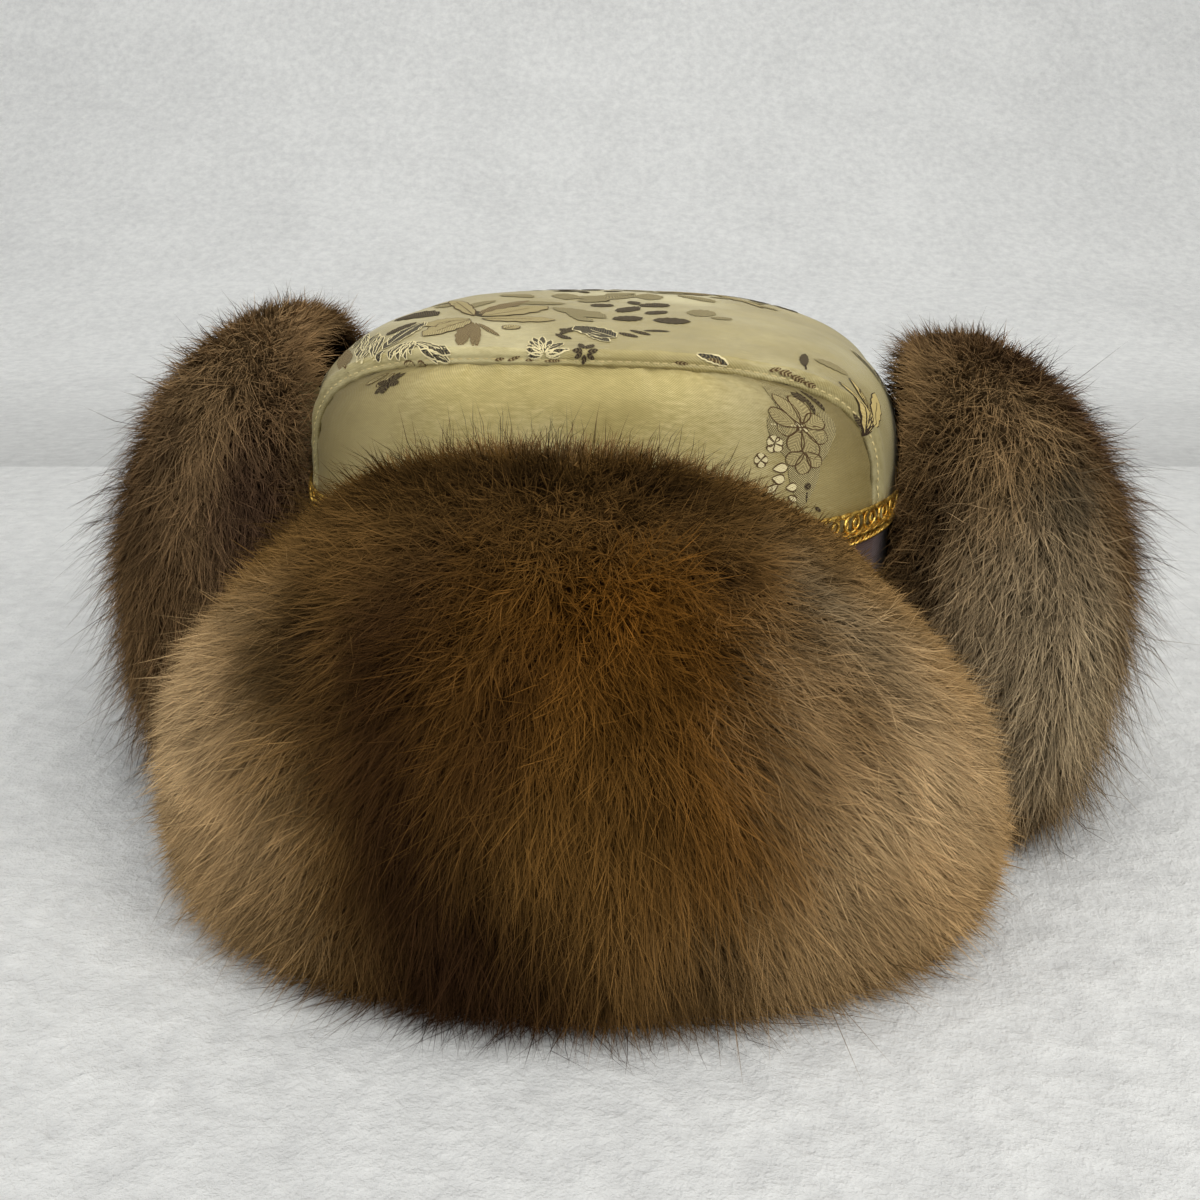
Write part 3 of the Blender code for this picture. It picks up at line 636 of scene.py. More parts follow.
flap_cloth, look, inputs = new_finish("flap_cloth", roughness=0.5, sheen_weight=0.2)
where = look.node("TexCoord", {}, {}, "Object")
shade = look.noise(where, 45.0, 4.0)
look.feed(inputs["Base Color"], shade.held(0.35, 0.65).between(SATIN_SHADE, SATIN_GOLD))
look.feed(inputs["Normal"], look.bump(look.noise(where, 900.0, 2.0), 0.1 * MM, 0.6))
# Each cloth's cut: width, length and, because its top is rounded, area
FLAP_CUTS = {
    "front": (0.204, 0.114, 0.0196), "right": (0.107, 0.128, 0.0122),
    "back": (0.204, 0.108, 0.0184), "left": (0.107, 0.133, 0.0129),
}
for name, (wide, tall, cut_area) in FLAP_CUTS.items():
    dress_node(f"{name}_flap_cloth", flap_cloth)
    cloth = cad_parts[f"{name}_flap_cloth"]


# Braids: two rows of gold metal thread round the crown's foot, sewn over the lower edge of the brocade.
# The upper row is a picot of overlapping loops, and the lower one is a tight two-strand cord.

GOLD_DEEP = (0.42, 0.20, 0.02, 1.0)
GOLD_BRIGHT = (0.95, 0.62, 0.13, 1.0)
PICOTS = 72
BRAID_FOOT = FOOT - 1.0 * MM


def thread_tube(lines, radius, sides=3):
    """(points, faces) of tubes round closed lines, each line an array of points."""
    count, steps, _ = lines.shape
    ahead = np.roll(lines, -1, 1) - np.roll(lines, 1, 1)
    ahead /= np.linalg.norm(ahead, axis=-1, keepdims=True) + 1e-12
    out = lines - HAT_AXIS
    out[..., 2] = 0.0
    side = np.cross(ahead, out / np.linalg.norm(out, axis=-1, keepdims=True))
    side /= np.linalg.norm(side, axis=-1, keepdims=True) + 1e-12
    rim = np.cross(side, ahead)
    turns = 2.0 * math.pi * np.arange(sides) / sides
    ring = side[..., None, :] * np.cos(turns)[:, None] + rim[..., None, :] * np.sin(turns)[:, None]
    points = lines[..., None, :] + ring * radius
    i, j, k = np.meshgrid(np.arange(count), np.arange(steps), np.arange(sides), indexing="ij")

    def number(step, corner):
        return ((i * steps + step % steps) * sides + corner % sides).ravel()

    corners = [number(j, k), number(j, k + 1), number(j + 1, k + 1), number(j + 1, k)]
    return points.reshape(-1, 3), np.stack(corners, -1)


def joined(parts):
    """One list of points and faces from several."""
    points, faces, start = [], [], 0
    for more, quads in parts:
        points.append(more)
        faces.append(quads + start)
        start += len(more)
    return np.concatenate(points), np.concatenate(faces)


gold_thread, look, inputs = new_finish("gold_thread", roughness=0.32, metallic=0.85)
where = look.node("TexCoord", {}, {}, "Object")
glint = look.noise(where, 700.0, 2.0).held(0.38, 0.62)
look.feed(inputs["Base Color"], glint.between(GOLD_DEEP, GOLD_BRIGHT))
look.feed(inputs["Normal"], look.bump(look.noise(where, 2600.0, 1.0), 0.12 * MM, 0.9))

around = np.linspace(0.0, 2.0 * math.pi, 16, endpoint=False)
loops = []
for shift, lean in ((0.0, 0.9), (0.5, -0.9)):
    centres = 2.0 * math.pi * (np.arange(PICOTS) + shift) / PICOTS
    wide = 0.62 * 2.0 * math.pi / PICOTS
    angle = centres[:, None] + wide * np.cos(around) + 0.1 * wide * lean * np.sin(around)
    height = BRAID_FOOT + 4.2 * MM + 2.9 * MM * np.sin(around) + 0 * angle
    out = 1.5 * MM + 0.35 * MM * lean * np.cos(around) + 0 * angle
    loops.append(thread_tube(oval_point(angle, out, height), 0.58 * MM))
ring = np.linspace(0.0, 2.0 * math.pi, 360, endpoint=False)
for phase in (0.0, math.pi):
    twist = ring * 60 + phase
    height = BRAID_FOOT + 1.1 * MM + 0.6 * MM * np.sin(twist)
    line = oval_point(ring, 1.5 * MM + 0.45 * MM * np.cos(twist), height)
    loops.append(thread_tube(line[None], 0.5 * MM))
points, faces = joined(loops)
picot = add_piece("gold_picot_braid", points, faces, gold_thread)
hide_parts("braid_scalloped")

ring = np.linspace(0.0, 2.0 * math.pi, 560, endpoint=False)
strands = []
for phase in (0.0, 2.0 * math.pi / 3, 4.0 * math.pi / 3):
    twist = ring * 80 + phase
    height = BRAID_FOOT - 1.7 * MM + 0.75 * MM * np.sin(twist)
    line = oval_point(ring, 0.2 * MM + 0.62 * MM * np.cos(twist), height)
    strands.append(thread_tube(line[None], 0.6 * MM))
points, faces = joined(strands)
cord = add_piece("gold_corded_braid", points, faces, gold_thread)
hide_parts("braid_cord")


# Fur: each flap is faced with a dressed pelt, a soft grey-brown undercoat under longer guard hairs. The
# hair fans out from the top of the flap, stands up over its edge and lies down to the floor at its foot.

LIP_OUT = 3.5 * MM
TUFT_SIZE, HAIR_DROOP, TIP_ROOM, HAIR_GAP = 4.5 * MM, 0.10, 9 * MM, 1.6 * MM
END_SHARE, END_NARROWING, END_ROUNDING = 0.985, 0.24, 12.0
SKIN_DEPTH = {"front": 4.5 * MM, "right": 1.5 * MM, "back": 4.5 * MM, "left": 1.5 * MM}
FRONT_OUTLINE = ((0, 61), (12, 66), (35, 68), (60, 65), (85, 57), (108, 44), (124, 28), (132, 16), (128, 6))
SIDE_OUTLINE = (
    (0, 56), (12, 63), (35, 69), (65, 72), (90, 70), (117, 61), (138, 46), (149, 29), (152, 14), (145, 5)
)
FLAPS = {
    "front": dict(
        azimuth=-90, span=57, height=0.99, thickness=1.0, dome=2.2, outline=FRONT_OUTLINE, crest=0.74,
        foot=1.1, ends=0.58, stray=0.70, stray_length=1.75, stray_share=0.20,
    ),
    "right": dict(
        azimuth=0, span=29.5, height=0.955, thickness=1.0, dome=2.4, outline=SIDE_OUTLINE, crest=0.76,
        foot=-0.35, ends=0.0, stray=0.10, stray_length=1.45, stray_share=0.20,
    ),
    "back": dict(
        azimuth=90, span=57, height=0.94, thickness=0.88, dome=2.2, outline=FRONT_OUTLINE, crest=0.74,
        foot=0.5, ends=0.4, stray=0.70, stray_length=1.6, stray_share=0.15,
    ),
    "left": dict(
        azimuth=180, span=29.5, height=1.0, thickness=1.0, dome=2.4, outline=SIDE_OUTLINE, crest=0.76,
        foot=-0.2, ends=0.0, stray=0.10, stray_length=1.45, stray_share=0.20,
    ),
}
# Colour patches of each pelt: across the flap, up its outline, half width and half height, colour, strength
TAN, GREY, NEAR_BLACK = (0.58, 0.41, 0.215), (0.095, 0.080, 0.052), (0.009, 0.006, 0.004)
BROWN, RUST, DARK_BROWN = (0.140, 0.073, 0.018), (0.135, 0.052, 0.006), (0.024, 0.011, 0.005)
UMBER, PALE, PLUM = (0.105, 0.058, 0.020), (0.43, 0.33, 0.195), (0.075, 0.040, 0.026)
FAWN, HAZEL = (0.27, 0.170, 0.075), (0.36, 0.235, 0.11)
PELTS = {
    "front": (BROWN, (
        (0.56, 0.42, 0.22, 0.24, TAN, 0.85), (-0.64, 0.40, 0.22, 0.24, TAN, 0.90),
        (0.98, 0.40, 0.14, 0.50, FAWN, 0.6), (-0.98, 0.40, 0.14, 0.50, FAWN, 0.6),
        (-0.62, 0.68, 0.24, 0.12, BROWN, 0.8), (0.52, 0.22, 0.24, 0.15, HAZEL, 0.85),
        (-0.54, 0.20, 0.18, 0.14, HAZEL, 0.8), (0.12, 0.56, 0.24, 0.14, RUST, 0.8),
        (0.22, 0.40, 0.12, 0.14, RUST, 0.6),
        (-0.17, 0.54, 0.08, 0.16, DARK_BROWN, 0.85), (-0.12, 0.36, 0.12, 0.18, DARK_BROWN, 0.95),
        (-0.10, 0.18, 0.20, 0.14, DARK_BROWN, 0.97), (-0.02, 0.05, 0.42, 0.10, NEAR_BLACK, 0.98),
        (0.04, 0.13, 0.24, 0.08, DARK_BROWN, 0.92), (0.34, 0.06, 0.16, 0.07, UMBER, 0.75),
        (-0.33, 0.54, 0.03, 0.08, NEAR_BLACK, 0.9),
        (-0.28, 0.42, 0.03, 0.08, DARK_BROWN, 0.8), (0.02, 0.46, 0.04, 0.10, DARK_BROWN, 0.6),
        (0.26, 0.62, 0.03, 0.025, NEAR_BLACK, 0.95), (-0.10, 0.775, 0.32, 0.04, NEAR_BLACK, 0.75),
        (0.22, 0.76, 0.12, 0.03, NEAR_BLACK, 0.7), (0.10, 0.70, 0.40, 0.05, UMBER, 0.6),
        (-0.32, 0.62, 0.16, 0.10, UMBER, 0.6), (0.50, 0.62, 0.10, 0.08, GREY, 0.6),
        (0.05, 0.92, 0.60, 0.06, FAWN, 0.7),
    )),
    "left": ((0.170, 0.100, 0.045), (
        (0.60, 0.72, 0.40, 0.12, HAZEL, 0.7), (0.88, 0.84, 0.20, 0.16, PLUM, 0.85),
        (0.20, 0.84, 0.40, 0.06, HAZEL, 0.6), (0.65, 0.66, 0.08, 0.03, NEAR_BLACK, 0.7),
        (0.78, 0.56, 0.12, 0.06, NEAR_BLACK, 0.5), (0.10, 0.40, 0.50, 0.26, PLUM, 0.8),
        (0.70, 0.36, 0.22, 0.16, FAWN, 0.6), (-0.70, 0.50, 0.40, 0.40, FAWN, 0.5),
        (0.60, 0.12, 0.30, 0.12, PLUM, 0.7), (0.2, 0.97, 0.9, 0.05, FAWN, 0.6),
    )),
    "right": ((0.150, 0.088, 0.036), (
        (-0.95, 0.62, 0.20, 0.20, PALE, 0.75), (-0.85, 0.42, 0.26, 0.22, PALE, 0.85),
        (-0.60, 0.74, 0.26, 0.10, HAZEL, 0.8), (-0.35, 0.90, 0.45, 0.08, FAWN, 0.8),
        (-0.10, 0.50, 0.20, 0.42, PLUM, 0.9), (-0.80, 0.86, 0.16, 0.06, DARK_BROWN, 0.6),
        (-0.62, 0.62, 0.12, 0.05, GREY, 0.7), (-0.75, 0.76, 0.05, 0.02, NEAR_BLACK, 0.8),
        (-0.35, 0.15, 0.20, 0.16, UMBER, 0.6), (0.60, 0.40, 0.40, 0.45, FAWN, 0.5),
    )),
    "back": (BROWN, (
        (0.60, 0.40, 0.26, 0.34, TAN, 0.7), (-0.62, 0.40, 0.24, 0.34, TAN, 0.7),
        (0.00, 0.55, 0.35, 0.20, RUST, 0.7), (0.10, 0.25, 0.18, 0.30, DARK_BROWN, 0.85),
        (0.05, 0.05, 0.35, 0.12, NEAR_BLACK, 0.8), (0.00, 0.79, 0.45, 0.04, GREY, 0.7),
        (-0.40, 0.50, 0.14, 0.14, UMBER, 0.6), (0.45, 0.60, 0.12, 0.10, GREY, 0.5),
        (0.05, 0.90, 0.60, 0.06, FAWN, 0.5),
    )),
}


def fur_place(flap, depth=0.0):
    """A function from (across, up) to points of this flap's fur face, or of its skin at a depth below it."""
    table = np.array(flap["outline"], float) * MM
    steps = np.linspace(0.0, 1.0, len(table))
    fine = np.linspace(0.0, 1.0, 121)
    smooth = np.stack([np.interp(fine, steps, table[:, k]) for k in range(2)], -1)
    for _ in range(40):
        smooth[1:-1] = (smooth[:-2] + 2 * smooth[1:-1] + smooth[2:]) / 4
    slope = np.gradient(smooth, axis=0)
    slope /= np.linalg.norm(slope, axis=1, keepdims=True)
    smooth = smooth - np.stack([-slope[:, 1], slope[:, 0]], -1) * depth
    tallest = table[:, 0].max()

    def place(across, up):
        height = np.interp(up, fine, smooth[:, 0])
        out = np.interp(up, fine, smooth[:, 1])
        ridge = tallest * flap["height"] * dome(END_SHARE * across, flap["dome"])
        slim = (1.0 - END_NARROWING * across**2) * flap["thickness"]
        slim = slim * (1.0 - np.abs(END_SHARE * across) ** END_ROUNDING) ** (1.0 / 3.0)
        angle = np.radians(flap["azimuth"] + flap["span"] * across)
        return oval_point(angle, LIP_OUT + (out - LIP_OUT) * slim, np.maximum(height * ridge / tallest, 0.0))

    return place


def toward_crown(points, share):
    """Points moved this share of the way in to the flap's cloth beside the crown."""
    flat = points - HAT_AXIS
    reach = np.hypot(flat[..., 0], flat[..., 1])
    cloth_reach = oval_radius(np.arctan2(flat[..., 1], flat[..., 0])) + LIP_OUT
    scale = 1.0 + (cloth_reach / reach - 1.0) * share
    return np.stack([flat[..., 0] * scale, flat[..., 1] * scale, flat[..., 2]], -1) + HAT_AXIS


def pelt_colour(name, across, up):
    """Linear colour of the pelt, with its patches drawn out into streaks."""
    base, patches = PELTS[name]
    colour = np.broadcast_to(np.array(base), across.shape + (3,)).copy()
    seed = len(name) * 7
    across = across + 0.07 * wander(seed, across, up, 0.16) + 0.03 * wander(seed + 1, across, up, 0.05)
    up = up + 0.05 * wander(seed + 2, across, up, 0.14) + 0.02 * wander(seed + 3, across, up, 0.05)
    for a, b, wide, tall, tone, strength in patches:
        far = ((across - a) / wide) ** 2 + ((up - b) / tall) ** 2
        share = strength * np.exp(-far)[..., None]
        colour = colour * (1 - share) + np.array(tone) * share
    return colour


def tufts(seed, x, y, size):
    """The number of the nearest tuft to each place, with the tufts' middles strewn unevenly."""
    shift = np.random.default_rng(seed).uniform(0.0, 1.0, (2, 128, 128))
    x, y = x / size + 200.0, y / size + 200.0
    best, found = np.full(len(x), 9.0), np.zeros(len(x), int)
    for i in (-1, 0, 1):
        for j in (-1, 0, 1):
            p, q = np.floor(x).astype(int) + i, np.floor(y).astype(int) + j
            far = (p + shift[0, p % 128, q % 128] - x) ** 2 + (q + shift[1, p % 128, q % 128] - y) ** 2
            found = np.where(far < best, p * 1000 + q, found)
            best = np.minimum(far, best)
    return np.unique(found, return_inverse=True)[1].ravel()


def grow(name, coat, count, steps, length, width, lean, seed, curl):
    """Points, faces and colours of flat tapering hairs on a flap's skin; alpha runs from root to tip."""
    flap = FLAPS[name]
    draw = np.random.default_rng(seed)
    skin = fur_place(flap, SKIN_DEPTH[name])
    edges_a, edges_u = np.linspace(-0.995, 0.995, 161), np.linspace(0.0, 0.985, 101)
    a, u = np.meshgrid((edges_a[1:] + edges_a[:-1]) / 2, (edges_u[1:] + edges_u[:-1]) / 2, indexing="ij")
    da, du = (edges_a[1] - edges_a[0]) / 2, (edges_u[1] - edges_u[0]) / 2
    patch = np.cross(skin(a + da, u) - skin(a - da, u), skin(a, u + du) - skin(a, u - du))
    area = np.linalg.norm(patch, axis=-1)
    chosen = draw.choice(area.size, count, p=(area / area.sum()).ravel())
    a = a.ravel()[chosen] + draw.uniform(-da, da, count)
    u = u.ravel()[chosen] + draw.uniform(-du, du, count)
    if coat == "rim_hair":
        at_top = draw.uniform(0.0, 1.0, count) < 0.45
        u = np.where(at_top, draw.uniform(0.82, 0.985, count), draw.uniform(0.10, 0.98, count))
        a = np.where(at_top, draw.uniform(-0.99, 0.99, count), np.sign(a) * 0.998)
        inset = draw.uniform(0.0, 1.0, count) * np.where(at_top, 0.5, 1.0)
    root = skin(a, u)
    step = 0.006
    side = skin(a + step, u) - skin(a - step, u)
    rise = skin(a, u + step) - skin(a, u - step)
    mm_side, mm_rise = np.linalg.norm(side, axis=1) / (2 * step), np.linalg.norm(rise, axis=1) / (2 * step)
    side /= np.linalg.norm(side, axis=1, keepdims=True)
    normal = np.cross(side, rise)
    normal /= np.linalg.norm(normal, axis=1, keepdims=True)
    rise = np.cross(normal, side)
    x, y = a * mm_side, (u - flap["crest"]) * mm_rise
    turn = np.arctan2(x, -y)
    nearby = np.exp(-((x / (30 * MM)) ** 2 + (y / (18 * MM)) ** 2))
    tousled = np.exp(-((x / (55 * MM)) ** 2 + ((y + 20 * MM) / (34 * MM)) ** 2))
    low_down = np.clip(1.0 - u / 0.30, 0.0, 1.0)
    turn += 0.30 * wander(seed + 1, x, y, 24 * MM) + (0.22 + 0.75 * tousled) * wander(seed + 2, x, y, 7 * MM)
    turn += draw.normal(0.0, 0.15 + curl + 0.9 * nearby + 0.35 * tousled, count)
    flow = side * np.sin(turn)[:, None] - rise * np.cos(turn)[:, None]
    if coat == "rim_hair":
        inward = (HAT_AXIS - root) * [1.0, 1.0, 0.0]
        inward /= np.linalg.norm(inward, axis=1, keepdims=True)
        up = np.array([0.0, 0.0, 1.0])
        past_end = side * np.sign(a)[:, None] * 0.8 + inward * (0.85 * inset - 0.25)[:, None] + up * 0.15
        over_top = inward + draw.uniform(-0.25, 0.75, (count, 1)) * up
        flow = np.where(at_top[:, None], over_top, past_end) + draw.normal(0.0, 0.28, (count, 3))
        flow /= np.linalg.norm(flow, axis=1, keepdims=True)
        root = toward_crown(root, inset)
    over = np.clip((u - flap["crest"]) / 0.10, 0.0, 1.0)
    uneven = 0.3 * wander(seed + 3, x, y, 14 * MM)
    stand = np.radians(lean) * (1.0 + 0.9 * over + 0.3 * tousled - 0.25 * low_down + uneven)
    stand = stand + draw.normal(0.0, 0.14, count)
    if coat == "rim_hair":
        stand = stand * 0.0 + 0.15
    long = length * (1.0 + 0.20 * wander(seed + 4, x, y, 16 * MM)) * draw.uniform(0.70, 1.18, count)
    to_foot = 1.0 + flap["foot"] * low_down * (1.0 - a * a) ** 2
    long *= (1.0 - 0.35 * nearby - 0.30 * tousled - 0.25 * over) * to_foot
    low_corner = 0.9 * flap["ends"] * np.clip(1.0 - u / 0.55, 0.0, 1.0) * a * a
    long *= (1.0 - flap["ends"] * np.abs(a) ** 3) * (1.0 - low_corner)
    if coat == "guard_hair":
        stray = draw.uniform(0.0, 1.0, count) < np.where(u > flap["stray"], flap["stray_share"], 0.03)
        long = np.where(stray, long * np.where(u > flap["stray"], flap["stray_length"], 1.25), long)
        stand = np.where(stray, stand + 0.5, stand)
    long *= 1.0 - 1.1 * flap["ends"] * np.clip((u - 0.55) / 0.2, 0.0, 1.0) * np.minimum(1.0, (a / 0.5) ** 2)
    if name == "front":
        long *= 1.0 - 0.30 * np.clip((a - 0.18) / 0.25, 0.0, 1.0) * np.clip((u - 0.62) / 0.12, 0.0, 1.0)
    bend = draw.normal(0.0, 0.10 + curl, (count, 3))
    t = np.linspace(0.0, 1.0, steps + 1)[None, :, None]
    sine, cosine = np.sin(stand)[:, None, None], np.cos(stand)[:, None, None]
    rising, running = sine * (t * 1.12 - 0.30 * t * t), cosine * t * (0.8 + 0.2 * t)
    path = normal[:, None, :] * rising + flow[:, None, :] * running
    path = path + bend[:, None, :] * t * t - np.array([0.0, 0.0, HAIR_DROOP]) * t * t
    points = root[:, None, :] + path * long[:, None, None]

    members = tufts(seed, x, y, TUFT_SIZE)
    total = np.maximum(np.bincount(members), 1)[:, None]
    middles = np.stack([np.bincount(members, points[:, -1, k]) for k in range(3)], -1) / total
    pull = draw.uniform(0.0, 0.28, count)[:, None, None] * t**1.5
    points = points + (middles[members][:, None, :] - points[:, -1:, :]) * pull

    flat = points - HAT_AXIS
    angle = np.arctan2(flat[..., 1], flat[..., 0])
    reach = np.hypot(flat[..., 0], flat[..., 1])
    over_crown = dome(np.clip((points[..., 2] - FOOT) / (TOP - FOOT), 0.0, 1.0), TOP_POWER)
    shoulder = over_crown if name in ("left", "right") else 1.0 * (points[..., 2] < 150 * MM)
    least = oval_radius(angle) * shoulder + HAIR_GAP
    push = np.where(reach < least, least / reach, 1.0)
    points[..., 0] = flat[..., 0] * push + HAT_AXIS[0]
    points[..., 1] = flat[..., 1] * push + HAT_AXIS[1]
    low = 0.5 * MM + draw.uniform(0.0, 1.5 * MM, count)[:, None] * t[..., 0]
    points[..., 2] = np.maximum(points[..., 2], low)
    for axis in range(3):
        lowest = cad_low[axis] - TIP_ROOM if axis < 2 else 0.0
        points[..., axis] = np.clip(points[..., axis], lowest, cad_high[axis] + TIP_ROOM)

    ahead = points[:, 1:] - points[:, :-1]
    ahead = np.concatenate([ahead[:, :1], (ahead[:, 1:] + ahead[:, :-1]) / 2, ahead[:, -1:]], 1)
    ahead /= np.linalg.norm(ahead, axis=-1, keepdims=True) + 1e-12
    blade = np.cross(ahead, normal[:, None, :] + 0.0 * ahead)
    blade /= np.linalg.norm(blade, axis=-1, keepdims=True) + 1e-12
    face = np.cross(blade, ahead)
    roll = draw.uniform(-0.6, 0.6, count)[:, None, None]
    blade = blade * np.cos(roll) + face * np.sin(roll)
    thick = width * draw.uniform(0.7, 1.3, count)[:, None, None] * (1.0 - 0.55 * t**2) / 2
    left, right = points - blade * thick, points + blade * thick
    verts = np.stack([left[:, :-1], right[:, :-1]], 2).reshape(count, -1, 3)
    verts = np.concatenate([verts, points[:, -1:]], 1)
    each = 2 * steps + 1
    quads = [(2 * k, 2 * k + 1, 2 * k + 3, 2 * k + 2) for k in range(steps - 1)]
    tris = [q for a0, b0, c0, d0 in quads for q in ((a0, b0, c0), (a0, c0, d0))]
    tris.append((2 * steps - 2, 2 * steps - 1, 2 * steps))
    faces = (np.arange(count)[:, None, None] * each + np.array(tris)).reshape(-1, 3)
    share = np.append(np.repeat(np.arange(steps) / steps, 2), 1.0)[None, :] + np.zeros((count, 1))

    tint = pelt_colour(name, a, u)
    # Locks and single hairs are made lighter or darker at random: partly the fur's own uneven tone, partly
    # painted shade in the dark gaps between locks
    shade = 1.0 + 0.34 * wander(seed + 5, x, y, 10 * MM) + draw.normal(0.0, 0.17, members.max() + 1)[members]
    tint *= (shade + draw.normal(0.0, 0.14, count))[:, None].clip(0.30, 2.0)
    if coat == "guard_hair":
        tint = np.where(stray[:, None], tint * 0.4, tint)
    colour = np.concatenate([np.repeat(tint[:, None, :], each, 1), share[..., None]], -1)
    return verts.reshape(-1, 3), faces, colour.reshape(-1, 4)


# Each hair is darker at its root and lighter toward its tip: partly the fur's own dark base and pale tips,
# partly painted shade deep in the coat and painted light on the tips that catch it
ROOT_SHADE, HAIR_SHINE = 0.20, 1.45
hair, look, inputs = new_finish("fur_hair", roughness=0.55, specular_ior_level=0.0)
pelt = look.node("Attribute", {"attribute_name": "pelt"}, {}, "Color")
along = look.node("Attribute", {"attribute_name": "pelt"}, {}, "Alpha")
lit = (along * 0.92 + ROOT_SHADE).held()
look.feed(inputs["Base Color"], look.scaled(pelt, lit * HAIR_SHINE))

under, look, inputs = new_finish("fur_skin", roughness=0.95, specular_ior_level=0.0)
pelt = look.node("Attribute", {"attribute_name": "pelt"}, {}, "Color")
where = look.node("TexCoord", {}, {}, "Object")
# The skin's colour is darkened here to between 0.35 and 0.85 of the pelt's, mottled at random: painted shade
# under the hairs
mottle = look.noise(where, 350.0, 2.0).held(0.3, 0.7) * 0.5 + 0.35
look.feed(inputs["Base Color"], look.scaled(pelt, mottle))
look.feed(inputs["Normal"], look.bump(look.noise(where, 900.0, 1.0), 0.6 * MM, 1.0))

# Each coat: name, hairs, lengths in a hair, its length and width in mm, lean in degrees, random seed, curl
COATS = {
    "front": (
        ("undercoat", 62000, 2, 14, 0.30, 42, 101, 0.20), ("guard_hair", 60000, 2, 22, 0.165, 25, 131, 0.05),
        ("rim_hair", 3500, 2, 15, 0.24, 40, 161, 0.05),
    ),
    "right": (
        ("undercoat", 27000, 2, 12, 0.34, 42, 201, 0.20), ("guard_hair", 28000, 2, 18.5, 0.19, 28, 231, 0.07),
        ("rim_hair", 8000, 2, 18, 0.28, 40, 261, 0.08),
    ),
    "left": (
        ("undercoat", 27000, 2, 12, 0.34, 42, 301, 0.20), ("guard_hair", 28000, 2, 19, 0.19, 28, 331, 0.07),
        ("rim_hair", 8000, 2, 18, 0.28, 40, 361, 0.08),
    ),
    "back": (
        ("undercoat", 16000, 2, 14, 0.60, 42, 401, 0.20), ("guard_hair", 15000, 2, 24, 0.40, 25, 431, 0.05),
        ("rim_hair", 2500, 2, 16, 0.45, 40, 461, 0.05),
    ),
}
thin = 1.0
for name, coats in COATS.items():
    flap = FLAPS[name]
    skin = fur_place(flap, SKIN_DEPTH[name])
    across = np.concatenate([[-1.0] * 3, np.linspace(-1.0, 1.0, 61), [1.0] * 3])
    inset = np.concatenate([[1.0, 0.6, 0.25], np.zeros(61), [0.25, 0.6, 1.0]])[:, None]
    a, u = np.meshgrid(across, np.linspace(0.0, 1.0, 41), indexing="ij")
    # The skin under the hairs takes the pelt's colour darkened to 0.55, and its material darkens it further:
    # painted shade deep in the coat
    colour = np.concatenate([pelt_colour(name, a, u) * 0.55, np.zeros(a.shape + (1,))], -1)
    points = toward_crown(skin(a, u), inset)
    faces = grid_faces(*a.shape)
    backing = add_piece(f"{name}_flap_pelt", points, faces, under, values=[("pelt", colour)])
    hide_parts(f"{name}_flap_fur")
    for coat, count, steps, length, width, lean, seed, curl in coats:
        count = int(count * thin)
        points, faces, colour = grow(
            name, coat, count, steps, length * MM, width * MM, lean, seed, curl
        )
        add_piece(f"{name}_flap_{coat}", points, faces, hair, values=[("pelt", colour)])


# Setting: the hat stands on pale felt that curves up into a far wall, and a wide window on the right lights
# it softly. Behind a line beyond the hat the felt is painted darker at the line and lighter further back:
# painted shade and light in place of a fold where floor meets wall.

FELT_PALE, FELT_GREY = (0.735, 0.735, 0.705, 1.0), (0.59, 0.59, 0.57, 1.0)
CAMERA_PLACE, CAMERA_TURN, CAMERA_DIP = (0.0484, -0.3926, 0.184), 7.6, 18.3
PAINTED_FOLD_LINE, FOLD_AT, FOLD_RADIUS = 0.867, 2.4, 1.2

material, look, inputs = new_finish("pale_felt", roughness=0.95, specular_ior_level=0.0)
where = look.node("TexCoord", {}, {}, "Object")
fluff = look.noise(where, 90.0, 5.0, 0.72)
felt = (fluff * 0.75 + look.noise(where, 7.0) * 0.25).held(0.34, 0.62).between(FELT_GREY, FELT_PALE)
heading = np.array([-math.sin(math.radians(CAMERA_TURN)), math.cos(math.radians(CAMERA_TURN))])
x, y = look.across(where, "X") - CAMERA_PLACE[0], look.across(where, "Y") - CAMERA_PLACE[1]
ahead = x * heading[0] + y * heading[1]
# Painted shade from the line back, fading into painted light further away
beyond = ahead.held(PAINTED_FOLD_LINE, PAINTED_FOLD_LINE + 0.004)
painted_wall_light = ahead.held(PAINTED_FOLD_LINE, PAINTED_FOLD_LINE + 0.45) * 0.34 + 0.80
shadow = beyond * painted_wall_light + (1.0 - beyond)
look.feed(inputs["Base Color"], look.scaled(felt, shadow))
look.feed(inputs["Normal"], look.bump(fluff, 2.5 * MM, 0.9))
bends = np.linspace(0.0, math.pi / 2, 9)
reaches = np.concatenate([[-2.0], FOLD_AT - FOLD_RADIUS + FOLD_RADIUS * np.sin(bends), [FOLD_AT]])
heights = np.concatenate([[0.0], FOLD_RADIUS * (1.0 - np.cos(bends)), [2.5]])
sheet = []
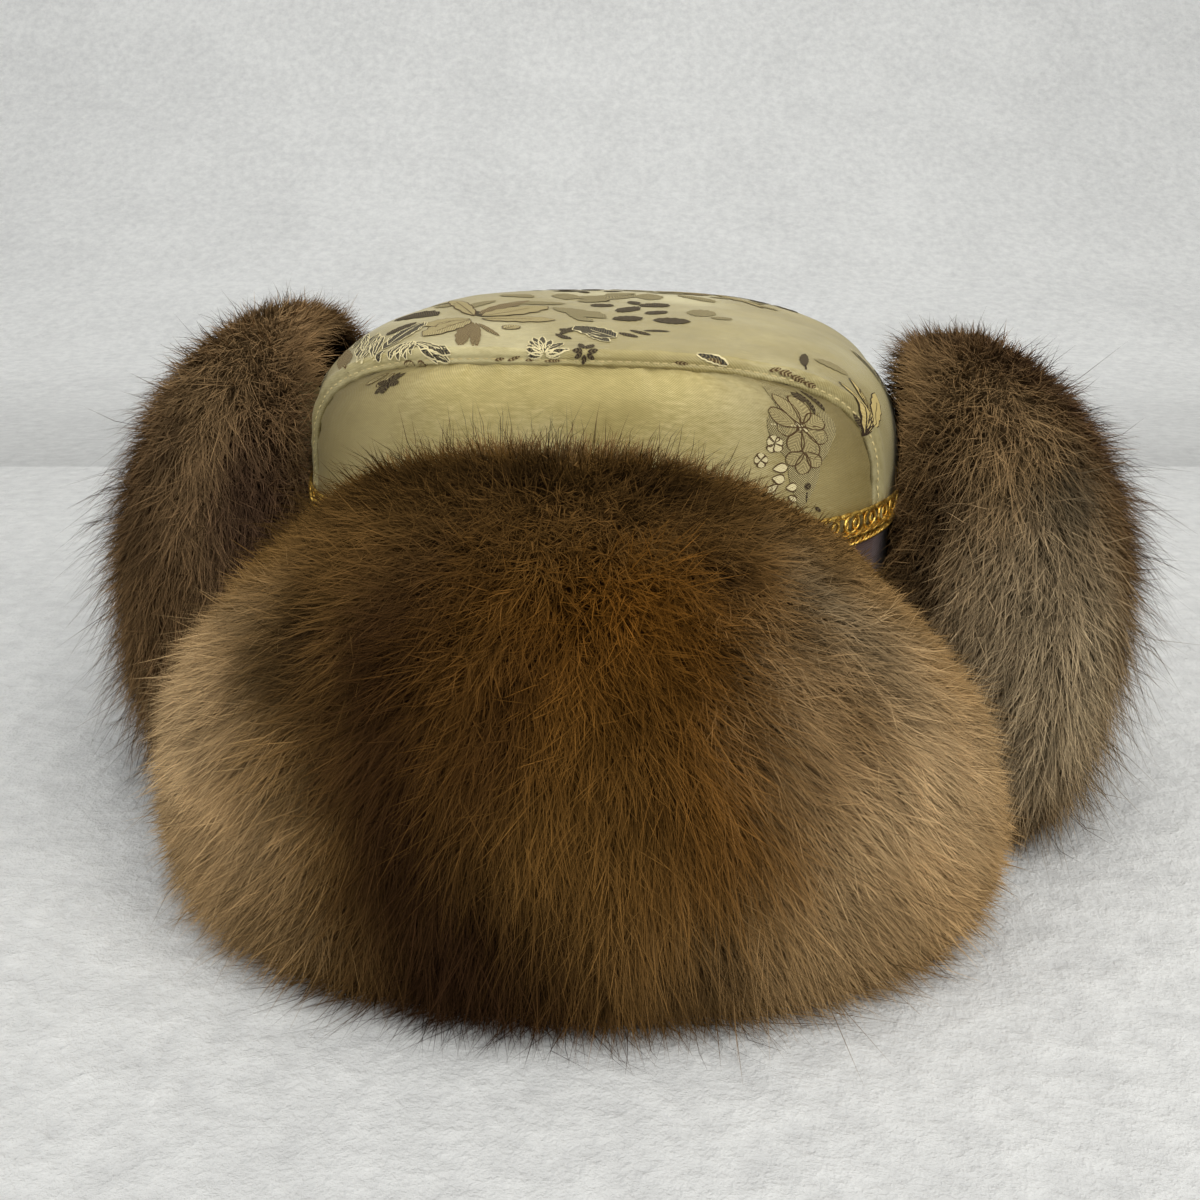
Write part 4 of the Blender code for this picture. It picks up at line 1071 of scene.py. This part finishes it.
for reach, height in zip(reaches, heights):
    for sideways in (-2.5, 2.5):
        flat = np.array(CAMERA_PLACE[:2]) + heading * reach + np.array([heading[1], -heading[0]]) * sideways
        sheet.append((*flat, height))
data = bpy.data.meshes.new("felt_sweep")
data.from_pydata(sheet, [], grid_faces(len(reaches), 2).tolist())
data.shade_smooth()
data.materials.append(material)
sweep = bpy.data.objects.new("felt_sweep", data)
bpy.context.scene.collection.objects.link(sweep)


def add_light(name, place, target, size, power, colour=(1.0, 1.0, 1.0)):
    lamp = bpy.data.lights.new(name, "AREA")
    lamp.shape = "RECTANGLE"
    lamp.size, lamp.size_y = size
    lamp.energy = power
    lamp.color = colour
    made = bpy.data.objects.new(name, lamp)
    made.location = place
    made.rotation_euler = (Vector(target) - Vector(place)).to_track_quat("-Z", "Y").to_euler()
    bpy.context.scene.collection.objects.link(made)


add_light("ceiling_light", (0.1, -0.15, 1.6), (0.0, 0.05, 0.0), (1.8, 1.4), 10.5, (1.0, 0.99, 0.97))
add_light("window_light", (1.2, -1.0, 1.1), (0.0, 0.0, 0.05), (1.0, 1.0), 17.5, (1.0, 0.985, 0.96))
add_light("fill_light", (-1.3, -1.0, 0.9), (0.0, 0.0, 0.05), (1.2, 1.2), 8.0, (0.97, 0.985, 1.0))
add_light("wall_light", (-0.3, 0.9, 1.4), (-0.3, 2.0, 0.25), (2.4, 0.6), 3.4)
world = bpy.data.worlds.new("soft_room")
world.use_nodes = True
world.node_tree.nodes["Background"].inputs["Color"].default_value = (0.93, 0.95, 1.0, 1.0)
world.node_tree.nodes["Background"].inputs["Strength"].default_value = 0.42
bpy.context.scene.world = world
bpy.context.scene.view_settings.view_transform = "Standard"

camera_data = bpy.data.cameras.new("camera")
camera_data.lens = 36.0
camera_data.sensor_width = 36.0
camera_data.clip_start = 0.01
camera = bpy.data.objects.new("camera", camera_data)
camera.location = CAMERA_PLACE
camera.rotation_euler = (math.radians(90.0 - CAMERA_DIP), 0.0, math.radians(CAMERA_TURN))
bpy.context.scene.collection.objects.link(camera)
bpy.context.scene.camera = camera
